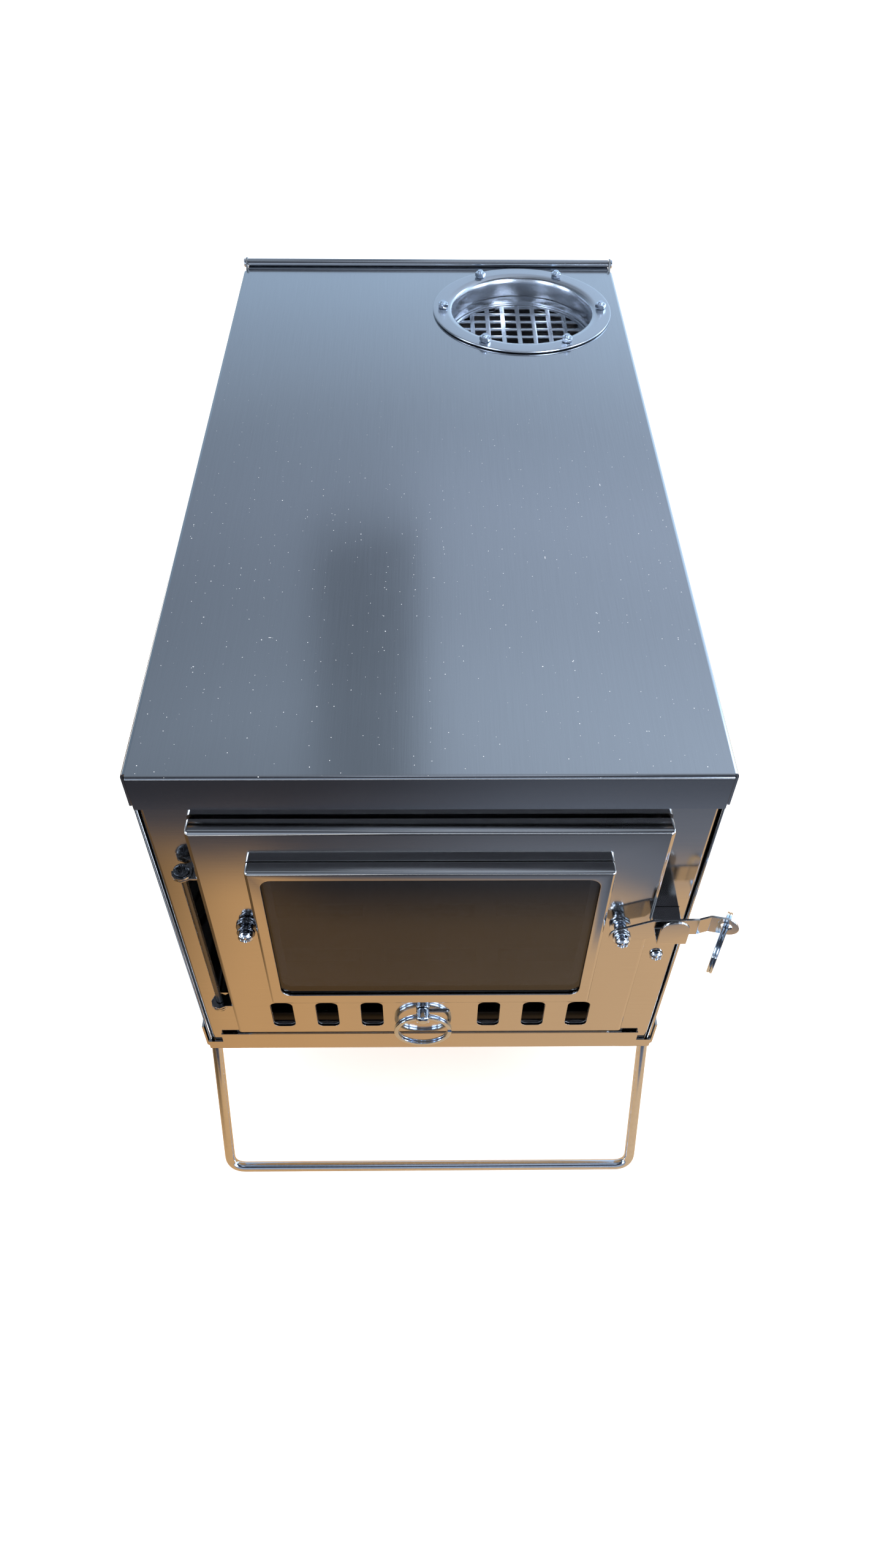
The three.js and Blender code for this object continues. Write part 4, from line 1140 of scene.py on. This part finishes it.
@dataclass
class CookTop:
    """The lid with the flue collar, the spark basket and the bolts that hold them."""

    finishes: Finishes
    bore: float = 40.6 * MM
    wall: float = 1.2 * MM
    flange: float = 52.5 * MM
    pitch: float = 9.4 * MM
    bar: float = 2.8 * MM
    bolts: int = 6
    rim: float = 2.5 * MM

    def build(self) -> None:
        """Dresses the lid and makes the collar, basket, grid, studs and nuts."""
        skin("lid", Body.LID, Slot.TOP, self.finishes.top, edge=0.25 * MM)
        self.collar(Spot.of("flue_collar"))
        self.basket(Spot.of("spark_basket"))
        self.grid(Spot.of("spark_grid"))
        for k in range(self.bolts):
            turn = TURN / 2 * k / self.bolts
            Stud(f"flue_stud_{k + 1}", Body.LID).build(self.finishes.bright)
            HexNut(f"flue_nut_{k + 1}", Body.LID, Axis.UP, turn=turn).build(self.finishes.bright)

    def turned(self, name: str, corners: list[list[float]], edge: float, spot: Spot, node: str) -> None:
        """Turns a closed profile about the flue's upright axis and dresses it as a flue piece.

        Args:
            name: the piece's name.
            corners: the profile's [radius, height] corners.
            edge: the rounding's reach.
            spot: the CAD node's box.
            node: the CAD node that it stands for.
        """
        loop = rounded(np.array(corners), edge, 6, closed=True)
        points = stand(lathe(loop, 144), Axis.UP, (spot.middle.x, spot.middle.y, 0))
        item = made(name, [Patch(points, wrap_rows=True, wrap_columns=True)], 50)
        dress(item, Body.LID, Slot.PANEL, self.finishes.flue, node)

    def collar(self, spot: Spot) -> None:
        """A tube with a wide flat flange and a rounded lip round its mouth.

        Args:
            spot: the CAD node's box.
        """
        low, top = spot.low.z, spot.high.z
        seat = top - self.wall
        mouth = self.bore + self.wall
        self.turned("flue_collar_spun", [
            [self.bore, low], [mouth, low], [mouth, seat - 1.0 * MM], [mouth + 0.6 * MM, seat],
            [self.flange, seat], [self.flange, top - 0.15 * MM], [self.flange - 0.5 * MM, top],
            [mouth + 2.2 * MM, top], [self.bore + 1.0 * MM, top - 0.8 * MM], [self.bore, top - 3.6 * MM]
        ], 1.3 * MM, spot, "flue_collar")

    def basket(self, spot: Spot) -> None:
        """A cup with a flange above and a small lip below that carries the grid.

        Args:
            spot: the CAD node's box.
        """
        low, top = spot.low.z, spot.high.z
        inner, wall = self.bore + self.wall + 0.6 * MM, 1.0 * MM
        outer, edge = inner + wall, 50.0 * MM
        lip = inner - self.rim
        self.turned("spark_basket_drawn", [
            [lip, low], [outer, low], [outer, top - wall], [edge, top - wall], [edge, top], [inner, top],
            [inner, low + wall], [lip, low + wall]], 0.4 * MM, spot, "spark_basket")

    def grid(self, spot: Spot) -> None:
        """Flat bars crossing inside a rim, each as long as the circle's chord: 2 sqrt(R^2 - p^2).

        Args:
            spot: the CAD node's box.
        """
        centre = np.array(spot.middle)
        radius, thick = spot.size.x / 2, spot.size.z
        reach = radius - self.rim
        rim = rounded(np.array([[reach, spot.low.z], [radius, spot.low.z], [radius, spot.high.z],
                                [reach, spot.high.z]]), 0.3 * MM, 3, closed=True)
        rim_points = stand(lathe(rim, 96), Axis.UP, (centre[0], centre[1], 0))
        section = flat_section(self.bar, thick, 0.5 * MM)
        across, along = [], []
        count = int(reach / self.pitch)
        for place in self.pitch * np.arange(-count, count + 1):
            half = math.sqrt(reach ** 2 - place ** 2) + 0.8 * MM
            share = np.linspace(-half, half, 24)[:, None]
            line_x = centre + share * np.array([1, 0, 0]) + place * np.array([0, 1, 0])
            line_y = centre + share * np.array([0, 1, 0]) + place * np.array([1, 0, 0])
            across.append(swept(line_x, section * 0.93, UPWARD))
            along.append(swept(line_y, section, UPWARD))
        item = made("spark_grid_bars", [Patch(rim_points, True, True), *along, *across])
        dress(item, Body.LID, Slot.PANEL, self.finishes.flue, "spark_grid")


@dataclass
class WireLegs:
    """The two bent wires, each one turned in at its top and worn flat where it stands."""

    finishes: Finishes
    wire: float = 2.75 * MM
    turn_in: float = 15.0 * MM
    length: float = 94.7 * MM
    tilt: float = math.radians(22.2)
    bends: tuple[float, ...] = (6.0 * MM, 9.0 * MM, 9.0 * MM, 6.0 * MM)

    def build(self) -> None:
        """Bends both legs."""
        for end, node, body in ((-1, "front_leg", Body.FRONT_LEG), (1, "rear_leg", Body.REAR_LEG)):
            item = made(node + "_bent", [self.wire_patch(Spot.of(node), end)], 60)
            dress(item, body, Slot.BRIGHT, self.finishes.bright, node)

    def wire_patch(self, spot: Spot, end: int) -> Patch:
        """Carries a circle along the leg's line, and lifts what is below the ground to it.

        Args:
            spot: the CAD leg's box.
            end: -1 for the front leg and 1 for the rear one.

        Returns:
            The wire's surface. The line runs in, out, down, across, up and in again in one tilted plane;
            each bend is (1-t)^2 A + 2t(1-t) B + t^2 C round its corner B.
        """
        half = spot.size.x / 2 - self.wire
        top = spot.high.z - self.wire
        near = spot.high.y - self.wire if end < 0 else spot.low.y + self.wire
        flat = np.array([[self.turn_in - half, 0], [-half, 0], [-half, self.length], [half, self.length],
                         [half, 0], [half - self.turn_in, 0]])
        t = np.linspace(0, 1, 14)[:, None]
        line = [np.linspace(flat[0], flat[0] + (flat[1] - flat[0]) * 0.55, 3)]
        for corner, before, after, radius in zip(flat[1:-1], flat[:-2], flat[2:], self.bends):
            enter = corner + (before - corner) / np.linalg.norm(before - corner) * radius
            leave = corner + (after - corner) / np.linalg.norm(after - corner) * radius
            line.append((1 - t) ** 2 * enter + 2 * t * (1 - t) * corner + t ** 2 * leave)
        line.append(flat[-1:])
        line = np.concatenate(line)
        down = np.array([0.0, end * math.sin(self.tilt), -math.cos(self.tilt)])
        start = np.array([spot.middle.x, near, top])
        path = start + line[:, :1] * np.array([1.0, 0.0, 0.0]) + line[:, 1:] * down
        patch = swept(path, round_section(self.wire, 28), np.cross([1.0, 0.0, 0.0], down))
        patch.points[..., 2] = np.maximum(patch.points[..., 2], 0.0)
        return patch


# ---------------------------------------------------------------- studio


@dataclass
class Studio:
    """Camera, soft light, pale floor and the cards that only gloss sees."""

    eye: tuple[float, float, float] = (-8.418 * MM, -470.57 * MM, 607.75 * MM)
    focal_px: float = 1748.28
    image_height_px: float = 2560.0
    pitch: float = math.radians(49.347)
    yaw: float = math.radians(-1.145)
    roll: float = math.radians(-0.774)
    floor_half: float = 12.0
    dome_radius: float = 4.0
    windows: tuple[tuple[tuple[float, float, float], float, float], ...] = (
        ((0.50, -0.80, 0.33), 0.26, 22.0), ((-0.62, -0.68, 0.38), 0.20, 16.0),
        ((0.05, -0.42, 0.91), 0.16, 3.0), ((0.93, -0.33, 0.16), 0.22, 16.0),
        ((-0.95, -0.25, 0.20), 0.18, 12.0), ((0.77, 0.46, 0.44), 0.20, 6.0))

    def build(self) -> None:
        """Makes all of it."""
        self.camera()
        self.lights()
        self.floor()
        self.wood_card()
        self.sky_dome()

    def camera(self) -> None:
        """Sets the camera solved from the photograph: turned by yaw, tipped by pitch and rolled."""
        turn = Matrix.Rotation(self.yaw, 3, "Z") @ Matrix.Rotation(-self.pitch, 3, "X")
        right, ahead, down = turn @ Vector((1, 0, 0)), turn @ Vector((0, 1, 0)), turn @ Vector((0, 0, -1))
        across = right * math.cos(self.roll) + down * math.sin(self.roll)
        below = down * math.cos(self.roll) - right * math.sin(self.roll)
        data = bpy.data.cameras.new("photo_camera")
        data.sensor_fit = "VERTICAL"
        data.sensor_height = 36.0
        data.lens = self.focal_px * data.sensor_height / self.image_height_px
        data.clip_start = 0.01
        data.clip_end = 100.0
        camera = bpy.data.objects.new("photo_camera", data)
        axes = Matrix((across, -below, -ahead)).transposed().to_4x4()
        camera.matrix_world = Matrix.Translation(Vector(self.eye)) @ axes
        bpy.context.scene.collection.objects.link(camera)
        bpy.context.scene.camera = camera

    def lights(self) -> None:
        """A wide soft light overhead, two weaker ones at the sides and a pale world."""
        for name, place, size, power in (("overhead", (0.2, 0.3, 2.4), 2.6, 48.0),
                                         ("left_fill", (-2.2, -0.8, 1.2), 1.4, 10.0),
                                         ("right_fill", (2.2, -0.9, 1.3), 1.4, 12.0)):
            data = bpy.data.lights.new(name, "AREA")
            data.shape = "SQUARE"
            data.size = size
            data.energy = power
            lamp = bpy.data.objects.new(name, data)
            lamp.location = place
            lamp.rotation_euler = (Vector((0, 0, 0.15)) - Vector(place)).to_track_quat("-Z", "Y").to_euler()
            lamp.visible_glossy = False
            bpy.context.scene.collection.objects.link(lamp)
        world = bpy.data.worlds.new("pale_room")
        world.use_nodes = True
        world.node_tree.nodes["Background"].inputs["Color"].default_value = (1.0, 1.0, 1.0, 1.0)
        world.node_tree.nodes["Background"].inputs["Strength"].default_value = 1.0
        bpy.context.scene.world = world
        bpy.context.scene.view_settings.view_transform = "Standard"

    def card(self, name: str, patch: Patch, material: bpy.types.Material, gloss_only: bool) -> None:
        """Makes a surface of the studio, seen by everything or only in reflections.

        Args:
            name: the surface's name.
            patch: its points.
            material: its finish.
            gloss_only: whether only reflections see it.
        """
        item = made(name, [patch])
        item.data.materials.append(material)
        if gloss_only:
            for switch in ("visible_camera", "visible_diffuse", "visible_transmission", "visible_shadow",
                           "visible_volume_scatter"):
                setattr(item, switch, False)

    def flat(self, low: tuple[float, float], high: tuple[float, float], height: float) -> Patch:
        """A level rectangle between two corners."""
        x, y = np.meshgrid((low[0], high[0]), (low[1], high[1]), indexing="ij")
        return Patch(np.stack([x, y, np.full_like(x, height)], axis=-1))

    def floor(self) -> None:
        """A pale floor with the faintest grain."""
        paint = Paint("studio_floor")
        grain = paint.noise(paint.place(), 30.0, 2.0)
        material = paint.finish({
            "Base Color": paint.mix(grain, rgba((0.93, 0.93, 0.93)), rgba((0.95, 0.95, 0.95))),
            "Roughness": grain * 0.1 + 0.8,
            "Emission Color": rgba((1.0, 1.0, 1.0)),
            "Emission Strength": 0.30,
        })
        reach = self.floor_half
        self.card("studio_floor", self.flat((-reach, -reach), (reach, reach), 0.0), material, False)

    def wood_card(self) -> None:
        """The warm floor that the stove's front mirrors: tan near it, and dark blue-grey further off.

        The tan is redder on the left and fades there, and the dark part is bluer and lighter on the right.
        """
        paint = Paint("warm_floor_card")
        x, y, _ = paint.axes(paint.place())
        right = paint.smooth(x, -0.12, 0.12)
        near = paint.smooth(y - paint.smooth(x, -0.14, -0.06) * 0.022, -0.436, -0.384)
        planks = paint.noise(paint.place((9.0, 3.0, 1.0)), 1.0, 3.0)
        tan = paint.mix(right, rgba((0.77, 0.445, 0.195)), rgba((0.80, 0.53, 0.30)))
        dark = paint.mix(right, rgba((0.080, 0.082, 0.100)), rgba((0.190, 0.215, 0.270)))
        fade = paint.smooth(x, -0.24, -0.12) * 0.8 + 0.2
        strength = fade * near + (paint.smooth(y, -0.49, -0.42) * 0.5 + 0.5) * (1 - near)
        self.emit(paint, paint.mix(near, dark, tan), strength * (planks * 0.2 + 0.9))
        self.card("warm_floor_card", self.flat((-0.9, -2.2), (0.9, 0.5), 0.6 * MM), paint.material, True)

    def emit(self, paint: Paint, colour: Signal, strength: object) -> None:
        """Turns a material into a plain glow of a colour."""
        glow = paint.node("ShaderNodeEmission", {}, {"Color": colour, "Strength": strength})
        paint.put(paint.output.inputs[0], glow)

    def sky_dome(self) -> None:
        """A half sphere of room light round the stove: (R cos e cos a, R cos e sin a, R sin e).

        The lid mirrors its rear half, which is bright and bluish near the horizon, with a soft dark band
        left of the middle. The front half is a dim room with a few bright windows, which only rounded
        edges and hardware mirror.
        """
        rise = np.linspace(-0.02, math.pi / 2, 40)[:, None]
        angle = np.linspace(0, TURN, 96, endpoint=False)[None, :]
        points = self.dome_radius * np.stack([np.cos(rise) * np.cos(angle), np.cos(rise) * np.sin(angle),
                                              np.sin(rise) + 0 * angle], axis=-1)
        paint = Paint("room_dome")
        direction = paint.place((1 / self.dome_radius,) * 3)
        x, y, z = paint.axes(direction)
        sky = paint.node("ShaderNodeValToRGB", {"stops": [
            (0.0, (0.60, 0.80, 0.98)), (0.44, (0.50, 0.66, 0.86)), (0.53, (0.36, 0.445, 0.56)),
            (0.62, (0.30, 0.36, 0.455)), (0.78, (0.31, 0.375, 0.46)), (1.0, (0.30, 0.35, 0.42))]},
            {"Fac": z}, "Color")
        room = paint.node("ShaderNodeValToRGB", {"stops": [
            (0.0, (0.26, 0.29, 0.34)), (0.30, (0.46, 0.55, 0.68)), (0.50, (0.30, 0.36, 0.45)),
            (0.60, (0.060, 0.066, 0.085)), (0.84, (0.050, 0.055, 0.070)), (1.0, (0.26, 0.30, 0.36))]},
            {"Fac": z}, "Color")
        rear = paint.smooth(y, -0.25, 0.10)
        colour = paint.mix(rear, room, sky)
        shade = (paint.smooth(x, -0.130, -0.098) * (1 - paint.smooth(x, -0.020, 0.0))
                 * paint.smooth(z, 0.62, 0.66))
        side = paint.smooth(x, -0.06, 0.03) * paint.smooth(z, 0.50, 0.68) * 0.30
        bands = paint.noise(paint.place(tuple(k / self.dome_radius for k in (1.2, 1.2, 15.0))), 1.0, 1.0)
        strength = (x * 0.9 + 1.08 + side) * (1 - shade * 0.42) * rear * (bands * 0.34 + 0.83) + (1 - rear)
        for centre, reach, power in self.windows:
            far = paint.node("ShaderNodeVectorMath", {"operation": "DISTANCE"},
                             {0: direction, 1: centre}, "Value")
            strength = strength + paint.smooth(far, reach, reach * 0.7) * power
        self.emit(paint, colour, strength)
        self.card("room_dome", Patch(points, wrap_columns=True), paint.material, True)


def main() -> None:
    """Builds the stove and the studio in order."""
    logging.basicConfig(level=logging.INFO, format="%(message)s")
    finishes = Finishes()
    for part in (Studio(), StoveBody(finishes), FireDoor(finishes), AirDamper(finishes), DoorLatch(finishes),
                 CookTop(finishes), WireLegs(finishes)):
        LOG.info("building %s", type(part).__name__)
        part.build()
    bpy.context.view_layer.update()


if __name__ == "__main__":
    main()
